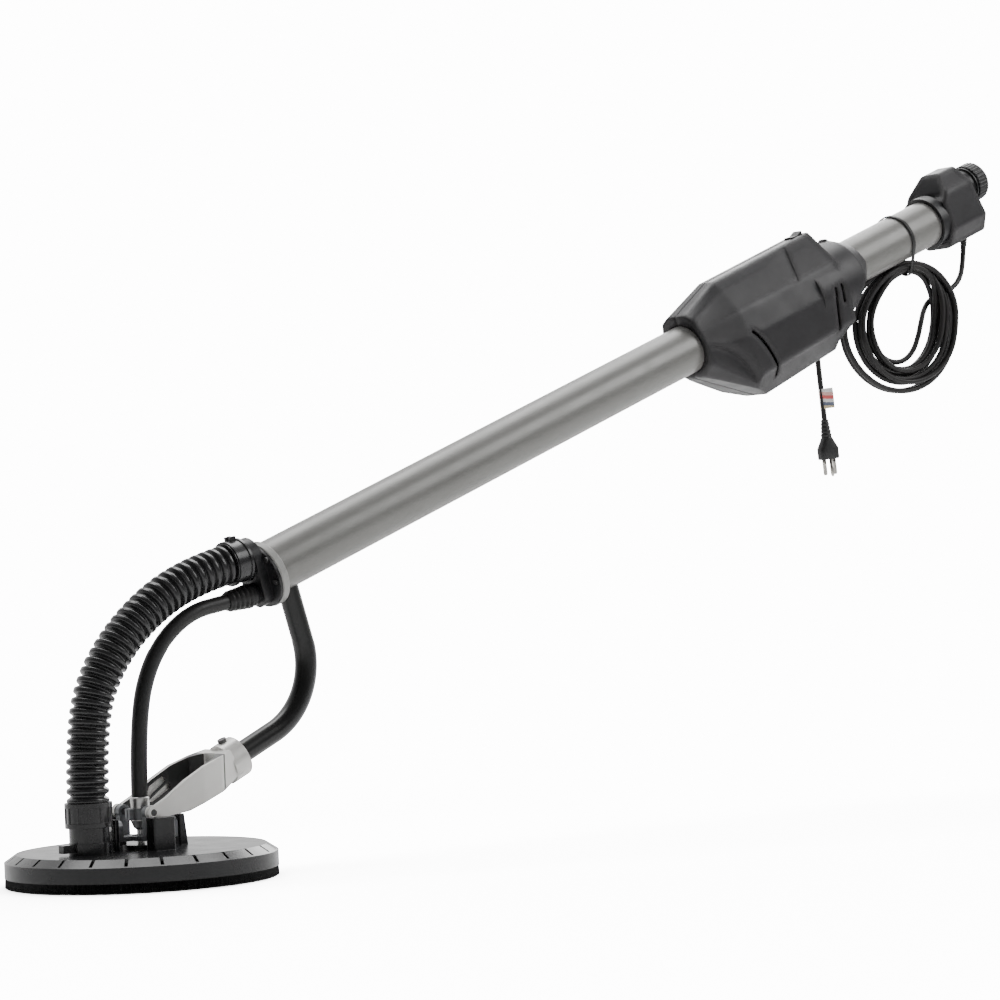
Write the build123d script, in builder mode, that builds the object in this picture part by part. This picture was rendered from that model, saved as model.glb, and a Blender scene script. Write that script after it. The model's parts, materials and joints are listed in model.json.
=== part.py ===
"""Long-reach pole drywall sander: a sanding head on a gimbal, a bent arm, a pole with its motor, hoses and mains cord.

The origin is the centre of the sanding face, +X runs from the head towards the handle end and +Z is up.
The pole lies in the XZ plane and is held at a rise above the flat head.
"""
import os
from math import cos, pi, radians, sin, tan

from build123d import *

os.makedirs("parts", exist_ok=True)

# ---------------------------------------------------------------- driving dimensions, mm and degrees
POLE_RISE = 21.2
POLE_FOOT = (135.5, 266.3)
TUBE_R = 25.5
TUBE_WALL = 1.8
FRONT_TUBE = (9.0, 632.0)
REAR_TUBE = (815.0, 1022.0)
GAP = 0.1

PAD_R = 112.5
SKIRT_R = 121.3
SHROUD_R = 121.3
SHROUD_TOP_R = 111.2
SHROUD_TOP = 28.5
SHROUD_SHOULDER = 21.8
SHROUD_RIM = 8.2
SHROUD_WALL = 2.5

PITCH_X = -5.0
PITCH_Z = 61.0
ROLL_Z = 48.0
PIN_R = 3.0
RUNNING = 0.05

HOSE_R = 18.2
HOSE_BORE = 14.5
HOSE_PORT_X = -54.0
HOSE_PORT_Z = 73.0
CASING_R = 7.2
CORE_R = 2.2
LINER_R = 5.0
SHAFT_DROP = -16.0

MODULE = 0.8
PINION_TEETH = 8
GEAR_TEETH = 48
MOTOR_DROP = SHAFT_DROP - MODULE * (PINION_TEETH + GEAR_TEETH) / 2
DUCT_RISE = 30.0
DUCT_R = 16.0

CORD_R = 3.0
COIL_TILT = -15.0

rise = radians(POLE_RISE)
pole = Plane(
    origin=(POLE_FOOT[0], 0, POLE_FOOT[1]),
    x_dir=(-sin(rise), 0, cos(rise)),
    z_dir=(cos(rise), 0, sin(rise)),
)


def pole_point(along, above=0.0, across=0.0):
    """World point at a distance along the pole, above its axis and across it (towards +Y)."""
    return (
        POLE_FOOT[0] + along * cos(rise) - above * sin(rise),
        across,
        POLE_FOOT[1] + along * sin(rise) + above * cos(rise),
    )


def station(along, above=0.0, across=0.0):
    """Plane square to the pole: its x is up, its y is world -Y and its normal points to the handle end."""
    return Plane(origin=pole_point(along, above, across), x_dir=pole.x_dir, z_dir=pole.z_dir)


def side_plane(across=0.0):
    """Plane along the pole: its x is the distance along it, its y is up, its normal is world -Y."""
    return Plane(origin=pole_point(0, 0, across), x_dir=pole.z_dir, z_dir=(0, -1, 0))


def save(name, part):
    """Label a finished piece and write its STEP file."""
    part.label = name
    export_step(part, f"parts/{name}.step")


def soft_radii(points):
    """Tangent arc radii for a limp route: 0.45 of the shorter run over the tangent of half the turn."""
    radii = []
    for before, here, after in zip(points, points[1:], points[2:]):
        run_in = Vector(*here) - Vector(*before)
        run_out = Vector(*after) - Vector(*here)
        turn = radians(run_in.get_angle(run_out))
        radii.append(0.45 * min(run_in.length, run_out.length) / tan(turn / 2))
    return radii


def report_route(name, points, radii, outer, part, bore=0.0):
    """Print a route's radii and compare the swept volume with its section times its length."""
    length = sum((Vector(*b) - Vector(*a)).length for a, b in zip(points, points[1:]))
    for before, here, after, radius in zip(points, points[1:], points[2:], radii):
        turn = radians((Vector(*here) - Vector(*before)).get_angle(Vector(*after) - Vector(*here)))
        length += radius * turn - 2 * radius * tan(turn / 2)
    ratio = part.volume / (pi * (outer**2 - bore**2) * length)
    print(name, "length", round(length, 1), "radii", [round(r) for r in radii], "volume ratio", round(ratio, 4))


def gear_outline(teeth, module, half_flank=0.5):
    """Corner points of a plain spur gear with straight flanks, first tooth on the local x axis."""
    pitch = module * teeth / 2
    points = []
    for tooth in range(teeth):
        centre = 2 * pi * tooth / teeth
        for radius, share in (
            (pitch - 1.1 * module, -0.62),
            (pitch + 0.9 * module, -0.22),
            (pitch + 0.9 * module, 0.22),
            (pitch - 1.1 * module, 0.62),
        ):
            angle = centre + share * half_flank * 2 * pi / teeth
            points.append((radius * cos(angle), radius * sin(angle)))
    return points


# ================================================================ sanding head: pad
ABRASIVE_TOP = 1.2
FOAM_TOP = 7.2
PLATE_TOP = 9.7
FLANGE_TOP = 11.7
SPINDLE_R = 6.0
PAD_SCREW_CIRCLE = 14.0
SUCTION_HOLES = 8
SUCTION_CIRCLE = 78.0

with BuildPart() as abrasive_disc:
    with BuildSketch(Plane.XY):
        Circle(PAD_R)
        with PolarLocations(SUCTION_CIRCLE, SUCTION_HOLES):
            Circle(5, mode=Mode.SUBTRACT)
    extrude(amount=ABRASIVE_TOP)

with BuildPart() as foam_pad:
    with BuildSketch(Plane.XY.offset(ABRASIVE_TOP)):
        Circle(PAD_R)
        Circle(12, mode=Mode.SUBTRACT)
        with PolarLocations(SUCTION_CIRCLE, SUCTION_HOLES):
            Circle(5.5, mode=Mode.SUBTRACT)
    extrude(amount=FOAM_TOP - ABRASIVE_TOP)
    # room for the heads of the pad screws
    with BuildSketch(Plane.XY.offset(FOAM_TOP)):
        Circle(19)
    extrude(amount=-2.2, mode=Mode.SUBTRACT)

with BuildPart() as backing_plate:
    with BuildSketch(Plane.XY.offset(FOAM_TOP)):
        Circle(PAD_R - 2)
        with PolarLocations(PAD_SCREW_CIRCLE, 6):
            Circle(2.2, mode=Mode.SUBTRACT)
        with PolarLocations(SUCTION_CIRCLE, SUCTION_HOLES):
            Circle(5.5, mode=Mode.SUBTRACT)
    extrude(amount=PLATE_TOP - FOAM_TOP)
    with BuildSketch(Plane.XY.offset(PLATE_TOP)):
        Circle(104)
        Circle(101, mode=Mode.SUBTRACT)
    extrude(amount=2)

with BuildPart() as drive_spindle:
    with BuildSketch(Plane.XY.offset(PLATE_TOP)):
        Circle(20)
        with PolarLocations(PAD_SCREW_CIRCLE, 6):
            Circle(1.9, mode=Mode.SUBTRACT)
    extrude(amount=FLANGE_TOP - PLATE_TOP)
    with BuildSketch(Plane.XY.offset(FLANGE_TOP)):
        Circle(SPINDLE_R)
    extrude(amount=17)
    with BuildSketch(Plane.XY.offset(FLANGE_TOP + 17)):
        Circle(CORE_R + GAP)
    extrude(amount=-12, mode=Mode.SUBTRACT)

with BuildPart() as pad_screws:
    with BuildSketch(Plane.XY.offset(FOAM_TOP - 1.6)):
        with PolarLocations(PAD_SCREW_CIRCLE, 6):
            Circle(3.4)
    extrude(amount=1.6)
    with BuildSketch(Plane.XY.offset(FOAM_TOP)):
        with PolarLocations(PAD_SCREW_CIRCLE, 6):
            Circle(1.85)
    extrude(amount=FLANGE_TOP - FOAM_TOP)

# ================================================================ sanding head: shroud
HUB_R = 17.0
HUB_BOTTOM = 14.0
HUB_TOP = 32.0
BEARING_R = 13.0
BEARING_LENGTH = 6.0
SLOT_COUNT = 24
SLOT_START = 5.0
SIDE_POST_INNER = 32.0
SIDE_POST_OUTER = 46.0
SIDE_POST_HALF = 11.0
SIDE_POST_TOP = 57.4
REAR_POST = (36.0, 41.0)
FRONT_POST = (-32.4, -27.6)
ROLL_POST_TOP = 56.0
ROLL_POST_HALF = 8.0
ROLL_PIN_R = 2.5

with BuildPart() as shroud:
    with BuildSketch(Plane.XZ):
        with BuildLine():
            Polyline(
                (0, SHROUD_TOP),
                (SHROUD_TOP_R, SHROUD_TOP),
                (SHROUD_R, SHROUD_SHOULDER),
                (SHROUD_R, SHROUD_RIM),
                (SHROUD_R - SHROUD_WALL, SHROUD_RIM),
                (SHROUD_R - SHROUD_WALL, SHROUD_SHOULDER - 1.4),
                (SHROUD_TOP_R - 1, SHROUD_TOP - 3),
                (0, SHROUD_TOP - 3),
                close=True,
            )
        make_face()
    revolve(axis=Axis.Z)
    with BuildSketch(Plane.XY.offset(HUB_BOTTOM)):
        Circle(HUB_R)
    extrude(amount=HUB_TOP - HUB_BOTTOM)
    with BuildSketch(Plane.XY.offset(SHROUD_TOP)):
        with Locations((PITCH_X, (SIDE_POST_INNER + SIDE_POST_OUTER) / 2)):
            Rectangle(2 * SIDE_POST_HALF, SIDE_POST_OUTER - SIDE_POST_INNER)
        with Locations((PITCH_X, -(SIDE_POST_INNER + SIDE_POST_OUTER) / 2)):
            Rectangle(2 * SIDE_POST_HALF, SIDE_POST_OUTER - SIDE_POST_INNER)
    extrude(amount=SIDE_POST_TOP - SHROUD_TOP)
    for low, high, lean in ((*REAR_POST, 3.5), (*FRONT_POST, 0.0)):
        with BuildSketch(Plane.XZ):
            with BuildLine():
                Polyline(
                    (low, SHROUD_TOP),
                    (high + lean, SHROUD_TOP),
                    (high, ROLL_POST_TOP),
                    (low, ROLL_POST_TOP),
                    close=True,
                )
            make_face()
        extrude(amount=ROLL_POST_HALF, both=True)
    posts = shroud.edges().filter_by(Axis.Z).filter_by(lambda e: e.center().Z > SHROUD_TOP and e.length > 25)
    fillet(posts, radius=1.5)
    # bearing seat, neck hole, dust port, roll pin holes and the ring of slots
    with BuildSketch(Plane.XY.offset(HUB_BOTTOM)):
        Circle(BEARING_R)
    extrude(amount=15, mode=Mode.SUBTRACT)
    with BuildSketch(Plane.XY.offset(HUB_BOTTOM)):
        Circle(3.4)
    extrude(amount=30, mode=Mode.SUBTRACT)
    with BuildSketch(Plane.XY.offset(SHROUD_TOP - 5)):
        with Locations((HOSE_PORT_X, 0)):
            Circle(HOSE_BORE)
    extrude(amount=6, mode=Mode.SUBTRACT)
    with BuildSketch(Plane.YZ.offset(FRONT_POST[0] - 1)):
        with Locations((0, ROLL_Z)):
            Circle(ROLL_PIN_R + RUNNING)
    extrude(amount=REAR_POST[1] - FRONT_POST[0] + 4, mode=Mode.SUBTRACT)
    with Locations((0, 0, SHROUD_TOP - 5.7)):
        with PolarLocations(SHROUD_R - 5.8, SLOT_COUNT, start_angle=SLOT_START):
            Box(8.5, 3, 7, align=(Align.CENTER, Align.CENTER, Align.MIN), mode=Mode.SUBTRACT)

with BuildPart() as spindle_bearings:
    for bottom in (15.2, 22.4):
        with BuildSketch(Plane.XY.offset(bottom)):
            Circle(BEARING_R - RUNNING)
            Circle(SPINDLE_R + RUNNING, mode=Mode.SUBTRACT)
        extrude(amount=BEARING_LENGTH)
        with BuildSketch(Plane.XY.offset(bottom + BEARING_LENGTH)):
            Circle(10.6)
            Circle(8.4, mode=Mode.SUBTRACT)
        extrude(amount=-0.8, mode=Mode.SUBTRACT)

with BuildPart() as bearing_retainer:
    with BuildSketch(Plane.XY.offset(HUB_BOTTOM - 1.6)):
        Circle(HUB_R)
        Circle(10, mode=Mode.SUBTRACT)
    extrude(amount=1.6)

with BuildPart() as skirt_ring:
    with BuildSketch(Plane.XY.offset(SHROUD_RIM)):
        Circle(SHROUD_R - SHROUD_WALL - GAP)
        Circle(PAD_R + 2.3, mode=Mode.SUBTRACT)
    extrude(amount=10)

with BuildPart() as skirt_bristles:
    with BuildSketch(Plane.XZ):
        with BuildLine():
            Polyline(
                (PAD_R + 3.0, SHROUD_RIM),
                (PAD_R + 5.0, 0),
                (SKIRT_R, 0),
                (SKIRT_R - 0.9, SHROUD_RIM / 2),
                (SKIRT_R - 1.0, SHROUD_RIM),
                close=True,
            )
        make_face()
    revolve(axis=Axis.Z)

# ferrule standing on the hub, in line with the spindle, and the clamp that grips the casing in it
FERRULE_R = 8.6
FERRULE_BOTTOM = 47.0
FERRULE_TOP = 74.0
NECK_R = 3.4

with BuildPart() as shaft_ferrule:
    with BuildSketch(Plane.XZ):
        with BuildLine():
            Polyline(
                (CORE_R + GAP, HUB_TOP - 3),
                (NECK_R, HUB_TOP - 3),
                (NECK_R, FERRULE_BOTTOM - 2),
                (FERRULE_R - 2.5, FERRULE_BOTTOM),
                (FERRULE_R, FERRULE_BOTTOM + 6),
                (FERRULE_R, FERRULE_TOP - 0.8),
                (FERRULE_R - 0.8, FERRULE_TOP),
                (CASING_R, FERRULE_TOP),
                (CASING_R, FERRULE_TOP - 10),
                (CORE_R + GAP, FERRULE_TOP - 10),
                close=True,
            )
        make_face()
    revolve(axis=Axis.Z)

with BuildPart() as ferrule_clamp:
    with BuildSketch(Plane.XY.offset(54)):
        Circle(FERRULE_R + 1.8)
        with Locations((-FERRULE_R - 2.4, 0)):
            Rectangle(5, 8)
        Circle(FERRULE_R, mode=Mode.SUBTRACT)
        with Locations((-FERRULE_R - 2.4, 0)):
            Rectangle(6, 1.2, mode=Mode.SUBTRACT)
    extrude(amount=10)

# hose connector on the shroud and its turning collar
CONNECTOR_R = 17.6
COLLAR_R = 20.8
COLLAR_BOTTOM = 51.5

with BuildPart() as hose_connector:
    with BuildSketch(Plane.XY.offset(SHROUD_TOP)):
        with Locations((HOSE_PORT_X, 0)):
            Circle(CONNECTOR_R + 0.9)
    extrude(amount=9.5)
    with BuildSketch(Plane.XY.offset(SHROUD_TOP + 9.5)):
        with Locations((HOSE_PORT_X, 0)):
            Circle(CONNECTOR_R)
    extrude(amount=COLLAR_BOTTOM - SHROUD_TOP - 9.8)
    with BuildSketch(Plane.XY.offset(COLLAR_BOTTOM - 0.3)):
        with Locations((HOSE_PORT_X, 0)):
            Circle(16.4)
    extrude(amount=HOSE_PORT_Z - COLLAR_BOTTOM - 3)
    with BuildSketch(Plane.XY.offset(SHROUD_TOP + 2)):
        with Locations((HOSE_PORT_X - CONNECTOR_R - 5, 0)):
            Rectangle(14, 8)
    extrude(amount=7)
    with BuildSketch(Plane.XY.offset(SHROUD_TOP)):
        with Locations((HOSE_PORT_X, 0)):
            Circle(HOSE_BORE)
    extrude(amount=60, mode=Mode.SUBTRACT)

with BuildPart() as hose_collar:
    with BuildSketch(Plane.XY.offset(COLLAR_BOTTOM)):
        with Locations((HOSE_PORT_X, 0)):
            Circle(COLLAR_R - 1)
    extrude(amount=HOSE_PORT_Z - COLLAR_BOTTOM)
    for bottom in (COLLAR_BOTTOM, HOSE_PORT_Z - 4):
        with BuildSketch(Plane.XY.offset(bottom)):
            with Locations((HOSE_PORT_X, 0)):
                Circle(COLLAR_R)
        extrude(amount=4)
    with BuildSketch(Plane.XY.offset(COLLAR_BOTTOM + 4)):
        with Locations((HOSE_PORT_X, 0)):
            with PolarLocations(COLLAR_R - 0.8, 12):
                Circle(0.8)
    extrude(amount=HOSE_PORT_Z - COLLAR_BOTTOM - 8)
    with BuildSketch(Plane.XY.offset(COLLAR_BOTTOM)):
        with Locations((HOSE_PORT_X, 0)):
            Circle(16.4 + RUNNING)
    extrude(amount=30, mode=Mode.SUBTRACT)

# ================================================================ gimbal
LEG_INNER = 18.0
LEG_OUTER = 24.2
LEG_HALF = 5.0
FRAME_BOTTOM = 36.0
FRAME_TOP = 40.0
FRONT_EAR = (-27.2, -22.5)
REAR_EAR = (29.5, 35.2)

with BuildPart() as gimbal_frame:
    with BuildSketch(Plane.XY.offset(FRAME_BOTTOM)):
        with Locations((PITCH_X, 0)):
            Rectangle(2 * LEG_HALF, 2 * LEG_OUTER)
        Rectangle(26, 24)
        with Locations(((FRONT_EAR[0] + REAR_EAR[1]) / 2, 0)):
            Rectangle(REAR_EAR[1] - FRONT_EAR[0], 13)
        Circle(8.5, mode=Mode.SUBTRACT)
    extrude(amount=FRAME_TOP - FRAME_BOTTOM)
    for side in (1, -1):
        with BuildSketch(Plane.XZ.offset(-side * LEG_OUTER)):
            with Locations((PITCH_X, (FRAME_BOTTOM + PITCH_Z) / 2)):
                Rectangle(2 * LEG_HALF, PITCH_Z - FRAME_BOTTOM)
            with Locations((PITCH_X, PITCH_Z)):
                Circle(LEG_HALF + 1)
        extrude(amount=side * (LEG_OUTER - LEG_INNER))
    for low, high in (FRONT_EAR, REAR_EAR):
        with BuildSketch(Plane.YZ.offset(low)):
            with Locations((0, (FRAME_BOTTOM + ROLL_Z) / 2)):
                Rectangle(13, ROLL_Z - FRAME_BOTTOM)
            with Locations((0, ROLL_Z)):
                Circle(6.5)
        extrude(amount=high - low)
    with BuildSketch(Plane.XZ.offset(-LEG_OUTER - 1)):
        with Locations((PITCH_X, PITCH_Z)):
            Circle(PIN_R + RUNNING)
    extrude(amount=2 * LEG_OUTER + 2, mode=Mode.SUBTRACT)
    with BuildSketch(Plane.YZ.offset(FRONT_EAR[0] - 1)):
        with Locations((0, ROLL_Z)):
            Circle(ROLL_PIN_R)
    extrude(amount=REAR_EAR[1] - FRONT_EAR[0] + 2, mode=Mode.SUBTRACT)

with BuildPart() as roll_pins:
    for low, high in ((FRONT_POST[0], FRONT_EAR[1]), (REAR_EAR[0], REAR_POST[1] - 0.5)):
        with BuildSketch(Plane.YZ.offset(low)):
            with Locations((0, ROLL_Z)):
                Circle(ROLL_PIN_R)
        extrude(amount=high - low)

# ================================================================ yoke and bent arm
ARM_R = 10.0
ARM_WALL = 2.5
ARM_ROOT = (165.0, 279.0)
ARM_CORNER = (204.1, 147.6)
ARM_END = (93.1, 96.3)
ARM_BEND = 70.0
YOKE_OUTER = 29.5
YOKE_INNER = 24.5
YOKE_COLLAR_R = 19.0
EYE_R = 6.4
YOKE_POCKETS = [
    [(11, 70), (23, 78.5), (17, 66)],
    [(26.5, 80.5), (41, 89), (44, 84.5), (21.5, 68)],
    [(46.5, 82.5), (50, 78), (30, 66.5), (25, 67)],
]

arm_run = Vector(ARM_CORNER[0] - ARM_END[0], 0, ARM_CORNER[1] - ARM_END[1]).normalized()
yoke_axis = Plane(
    origin=(ARM_END[0] + 7.5 * arm_run.X, 0, ARM_END[1] + 7.5 * arm_run.Z),
    x_dir=(0, 1, 0),
    z_dir=(arm_run.X, 0, arm_run.Z),
)

CLAMP_SCREW_R = 2.4
clamp_axis = Plane(origin=yoke_axis.origin, x_dir=(0, 1, 0), z_dir=(-arm_run.Z, 0, arm_run.X))

with BuildPart() as control_arm:
    with BuildLine(Plane.XZ) as arm_path:
        FilletPolyline(ARM_ROOT, ARM_CORNER, ARM_END, radius=ARM_BEND)
    with BuildSketch(Plane(origin=arm_path.line @ 0, z_dir=arm_path.line % 0)):
        Circle(ARM_R)
        Circle(ARM_R - ARM_WALL, mode=Mode.SUBTRACT)
    sweep()
    with BuildSketch(station(0)):
        Circle(TUBE_R)
    extrude(amount=80, mode=Mode.SUBTRACT)

with BuildPart() as yoke:
    with BuildSketch(Plane.XZ):
        with BuildLine():
            Polyline(
                (PITCH_X - 6, PITCH_Z + 2),
                (9, 73),
                (30, 87),
                (51, 98),
                (70, 105),
                (86, 110),
                (102, 89),
                (76, 75),
                (34, 60),
                (PITCH_X, PITCH_Z - 6.4),
                (PITCH_X - 6, PITCH_Z - 2),
                close=True,
            )
        make_face()
    extrude(amount=YOKE_OUTER, both=True)
    with BuildSketch(Plane.XY):
        with BuildLine():
            Polyline(
                (PITCH_X - 12, YOKE_OUTER),
                (50, YOKE_OUTER),
                (72, 26),
                (94, 17),
                (106, 17),
                (106, -17),
                (94, -17),
                (72, -26),
                (50, -YOKE_OUTER),
                (PITCH_X - 12, -YOKE_OUTER),
                close=True,
            )
        make_face()
    extrude(amount=160, mode=Mode.INTERSECT)
    with BuildSketch(Plane.XZ.offset(-YOKE_OUTER)):
        with Locations((PITCH_X, PITCH_Z)):
            Circle(EYE_R)
    extrude(amount=2 * YOKE_OUTER)
    with BuildSketch(Plane.XY):
        with BuildLine():
            Polyline(
                (PITCH_X - 14, YOKE_INNER),
                (48, YOKE_INNER),
                (68, 20),
                (78, 8),
                (78, -8),
                (68, -20),
                (48, -YOKE_INNER),
                (PITCH_X - 14, -YOKE_INNER),
                close=True,
            )
        make_face()
    extrude(amount=160, mode=Mode.SUBTRACT)
    with BuildSketch(yoke_axis.offset(-9)):
        Circle(YOKE_COLLAR_R)
    extrude(amount=18)
    with BuildSketch(yoke_axis.offset(-7.5)):
        Circle(ARM_R)
    extrude(amount=30, mode=Mode.SUBTRACT)
    with BuildSketch(Plane.XZ.offset(-YOKE_OUTER - 1)):
        with Locations((PITCH_X, PITCH_Z)):
            Circle(PIN_R)
    extrude(amount=2 * YOKE_OUTER + 2, mode=Mode.SUBTRACT)
    # pockets on the inner face of each cheek, with slanting ribs left between them
    for side in (1, -1):
        with BuildSketch(Plane.XZ.offset(-side * YOKE_INNER)):
            for pocket in YOKE_POCKETS:
                with BuildLine():
                    Polyline(*pocket, close=True)
                make_face()
        extrude(amount=-side * 2.2, mode=Mode.SUBTRACT)
    # screw hole down through the top of the collar
    with BuildSketch(clamp_axis.offset(ARM_R)):
        Circle(CLAMP_SCREW_R + 0.05)
    extrude(amount=YOKE_COLLAR_R, mode=Mode.SUBTRACT)

with BuildPart() as yoke_clamp_screw:
    with BuildSketch(clamp_axis.offset(ARM_R + 0.1)):
        Circle(CLAMP_SCREW_R)
    extrude(amount=YOKE_COLLAR_R - ARM_R)
    with BuildSketch(clamp_axis.offset(YOKE_COLLAR_R + 0.1)):
        Circle(CLAMP_SCREW_R + 1.6)
    extrude(amount=2.6)

with BuildPart() as yoke_pins:
    for side in (1, -1):
        with BuildSketch(Plane.XZ.offset(-side * YOKE_OUTER)):
            with Locations((PITCH_X, PITCH_Z)):
                Circle(PIN_R)
        extrude(amount=side * (YOKE_OUTER - LEG_INNER + 0.5))

# ================================================================ front end of the pole
FLANGE_DROP = -2.5
FLANGE_R = 31.0
PORT_ABOVE = 19.3
PORT_TILT = 8.0
SPIGOT_R = 16.8

port_turn = radians(180 + POLE_RISE - PORT_TILT)
port_start = pole_point(-6, PORT_ABOVE)
port_axis = Plane(origin=port_start, x_dir=(0, 1, 0), z_dir=(cos(port_turn), 0, sin(port_turn)))
HOSE_LEAVES = 20.0
hose_start = port_axis.from_local_coords((0, 0, HOSE_LEAVES))

boot_root = pole_point(-2, SHAFT_DROP)
boot_tip = pole_point(-42, -8.6)
boot_axis = Plane(
    origin=boot_root,
    x_dir=(0, 1, 0),
    z_dir=(boot_tip[0] - boot_root[0], 0, boot_tip[2] - boot_root[2]),
)

with BuildPart() as front_flange:
    with BuildSketch(station(7, FLANGE_DROP)):
        Circle(FLANGE_R)
        with Locations((-FLANGE_DROP, 0)):
            Circle(TUBE_R + GAP / 2, mode=Mode.SUBTRACT)
    extrude(amount=8)
    rims = front_flange.edges().filter_by(GeomType.CIRCLE)
    chamfer(rims.filter_by(lambda e: e.radius > FLANGE_R - 1), length=0.8)

with BuildPart() as front_end_cap:
    with BuildSketch(station(4, FLANGE_DROP)):
        Circle(FLANGE_R - 1)
    extrude(amount=3)
    with BuildSketch(station(-6)):
        with Locations((PORT_ABOVE - 1, 0)):
            Circle(18.5)
        with Locations((SHAFT_DROP, 0)):
            Circle(13)
        make_hull()
    extrude(amount=10)
    with BuildSketch(port_axis.offset(-4)):
        Circle(SPIGOT_R)
    extrude(amount=4 + HOSE_LEAVES)
    with BuildSketch(boot_axis):
        Circle(9.4)
    extrude(amount=12)
    with BuildSketch(station(7)):
        Circle(TUBE_R - TUBE_WALL - GAP)
    extrude(amount=18)
    # bores for the air and for the shaft
    with BuildSketch(port_axis.offset(-1)):
        Circle(HOSE_BORE - 1)
    extrude(amount=40, mode=Mode.SUBTRACT)
    with BuildSketch(station(-8, 9.5)):
        Circle(11.5)
    extrude(amount=40, mode=Mode.SUBTRACT)
    with BuildSketch(boot_axis.offset(3)):
        Circle(CASING_R)
    extrude(amount=30, mode=Mode.SUBTRACT)
    with BuildSketch(boot_axis.offset(-6)):
        Circle(CORE_R + 0.5)
    extrude(amount=20, mode=Mode.SUBTRACT)
    with BuildSketch(station(-6, SHAFT_DROP)):
        Circle(CORE_R + 0.5)
    extrude(amount=40, mode=Mode.SUBTRACT)

with BuildPart() as end_cap_screws:
    for side in (1, -1):
        with BuildSketch(station(2.2, -8, side * 24)):
            Circle(2.6)
        extrude(amount=1.8)
    for side in (1, -1):
        with BuildSketch(station(2.2, 14, side * 22)):
            Circle(2.6)
        extrude(amount=1.8)

with BuildPart() as upper_hose_cuff:
    with BuildSketch(port_axis.offset(2.5)):
        Circle(20)
        Circle(SPIGOT_R + GAP / 2, mode=Mode.SUBTRACT)
    extrude(amount=HOSE_LEAVES - 2.5)
    for start in (2.5, 16):
        with BuildSketch(port_axis.offset(start)):
            Circle(21)
            Circle(SPIGOT_R + GAP / 2, mode=Mode.SUBTRACT)
        extrude(amount=2.5)
    with BuildSketch(port_axis.offset(6)):
        for across in (-3.6, 3.6):
            with Locations((across, -20.8)):
                Rectangle(3, 6)
    extrude(amount=6)

with BuildPart() as shaft_boot:
    with BuildSketch(boot_axis.offset(6.6)):
        Circle(10.6)
        Circle(9.4 + GAP / 2, mode=Mode.SUBTRACT)
    extrude(amount=5.4)
    with BuildSketch(boot_axis.offset(12)):
        Circle(10)
        Circle(CASING_R + GAP / 2, mode=Mode.SUBTRACT)
    extrude(amount=26)
    for start, radius in ((12, 11.4), (18, 11.2), (24, 11.0), (30, 10.8)):
        with BuildSketch(boot_axis.offset(start)):
            Circle(radius)
            Circle(10, mode=Mode.SUBTRACT)
        extrude(amount=3)

# ================================================================ hose and drive shaft, whole, on their real routes
hose_route = [
    tuple(hose_start),
    tuple(port_axis.from_local_coords((0, 0, HOSE_LEAVES + 38))),
    (16.0, 0, 243.0),
    (-30.0, 0, 199.0),
    (HOSE_PORT_X, 0, 143.0),
    (HOSE_PORT_X, 0, HOSE_PORT_Z),
]
casing_start = tuple(boot_axis.from_local_coords((0, 0, 3.0)))
casing_route = [
    (0, 0, FERRULE_TOP - 10),
    (0, 0, 140.0),
    (18.0, 0, 199.0),
    (58.0, 0, 235.5),
    tuple(boot_axis.from_local_coords((0, 0, 36.0))),
    casing_start,
]
MOTOR_FRONT = 668.0
core_route = [
    (0, 0, 22.0),
    (0, 0, 140.0),
    (18.0, 0, 199.0),
    (58.0, 0, 235.5),
    tuple(boot_axis.from_local_coords((0, 0, 36.0))),
    boot_root,
    pole_point(MOTOR_FRONT - 16, SHAFT_DROP),
]


def swept_tube(points, outer, bore, radii):
    """Round bar or tube along straight runs joined by tangent arcs."""
    with BuildPart() as tube:
        with BuildLine() as path:
            FilletPolyline(*points, radius=radii)
        with BuildSketch(Plane(origin=path.line @ 0, z_dir=path.line % 0)):
            Circle(outer)
            if bore > 0:
                Circle(bore, mode=Mode.SUBTRACT)
        sweep()
    return tube.part


hose_radii = soft_radii(hose_route)
hose_radii[0] = min(hose_radii[0], 200.0)
corrugated_hose = swept_tube(hose_route, HOSE_R, HOSE_BORE, hose_radii)
casing_radii = soft_radii(casing_route)
casing_radii[-1] = min(casing_radii[-1], 150.0)
shaft_casing = swept_tube(casing_route, CASING_R, CORE_R + 0.6, casing_radii)
core_radii = casing_radii + [60.0]
flex_core = swept_tube(core_route, CORE_R, 0, core_radii)
report_route("corrugated_hose", hose_route, hose_radii, HOSE_R, corrugated_hose, HOSE_BORE)
report_route("shaft_casing", casing_route, casing_radii, CASING_R, shaft_casing, CORE_R + 0.6)
report_route("flex_core", core_route, core_radii, CORE_R, flex_core)

# ================================================================ pole tubes
with BuildPart() as main_tube:
    with BuildSketch(station(FRONT_TUBE[0])):
        Circle(TUBE_R)
        Circle(TUBE_R - TUBE_WALL, mode=Mode.SUBTRACT)
    extrude(amount=FRONT_TUBE[1] - FRONT_TUBE[0])

with BuildPart() as rear_tube:
    with BuildSketch(station(REAR_TUBE[0])):
        Circle(TUBE_R)
        Circle(TUBE_R - TUBE_WALL, mode=Mode.SUBTRACT)
    extrude(amount=REAR_TUBE[1] - REAR_TUBE[0])

with BuildPart() as inner_shaft_liner:
    with BuildSketch(station(25.5, SHAFT_DROP)):
        Circle(LINER_R)
        Circle(CORE_R + 0.6, mode=Mode.SUBTRACT)
    extrude(amount=MOTOR_FRONT - 20 - 25.5)

with BuildPart() as tube_bulkhead:
    with BuildSketch(station(618)):
        Circle(TUBE_R - TUBE_WALL - GAP)
        with Locations((6, 0)):
            Circle(DUCT_R + GAP / 2, mode=Mode.SUBTRACT)
        with Locations((SHAFT_DROP, 0)):
            Circle(LINER_R + GAP / 2, mode=Mode.SUBTRACT)
    extrude(amount=5)

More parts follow.
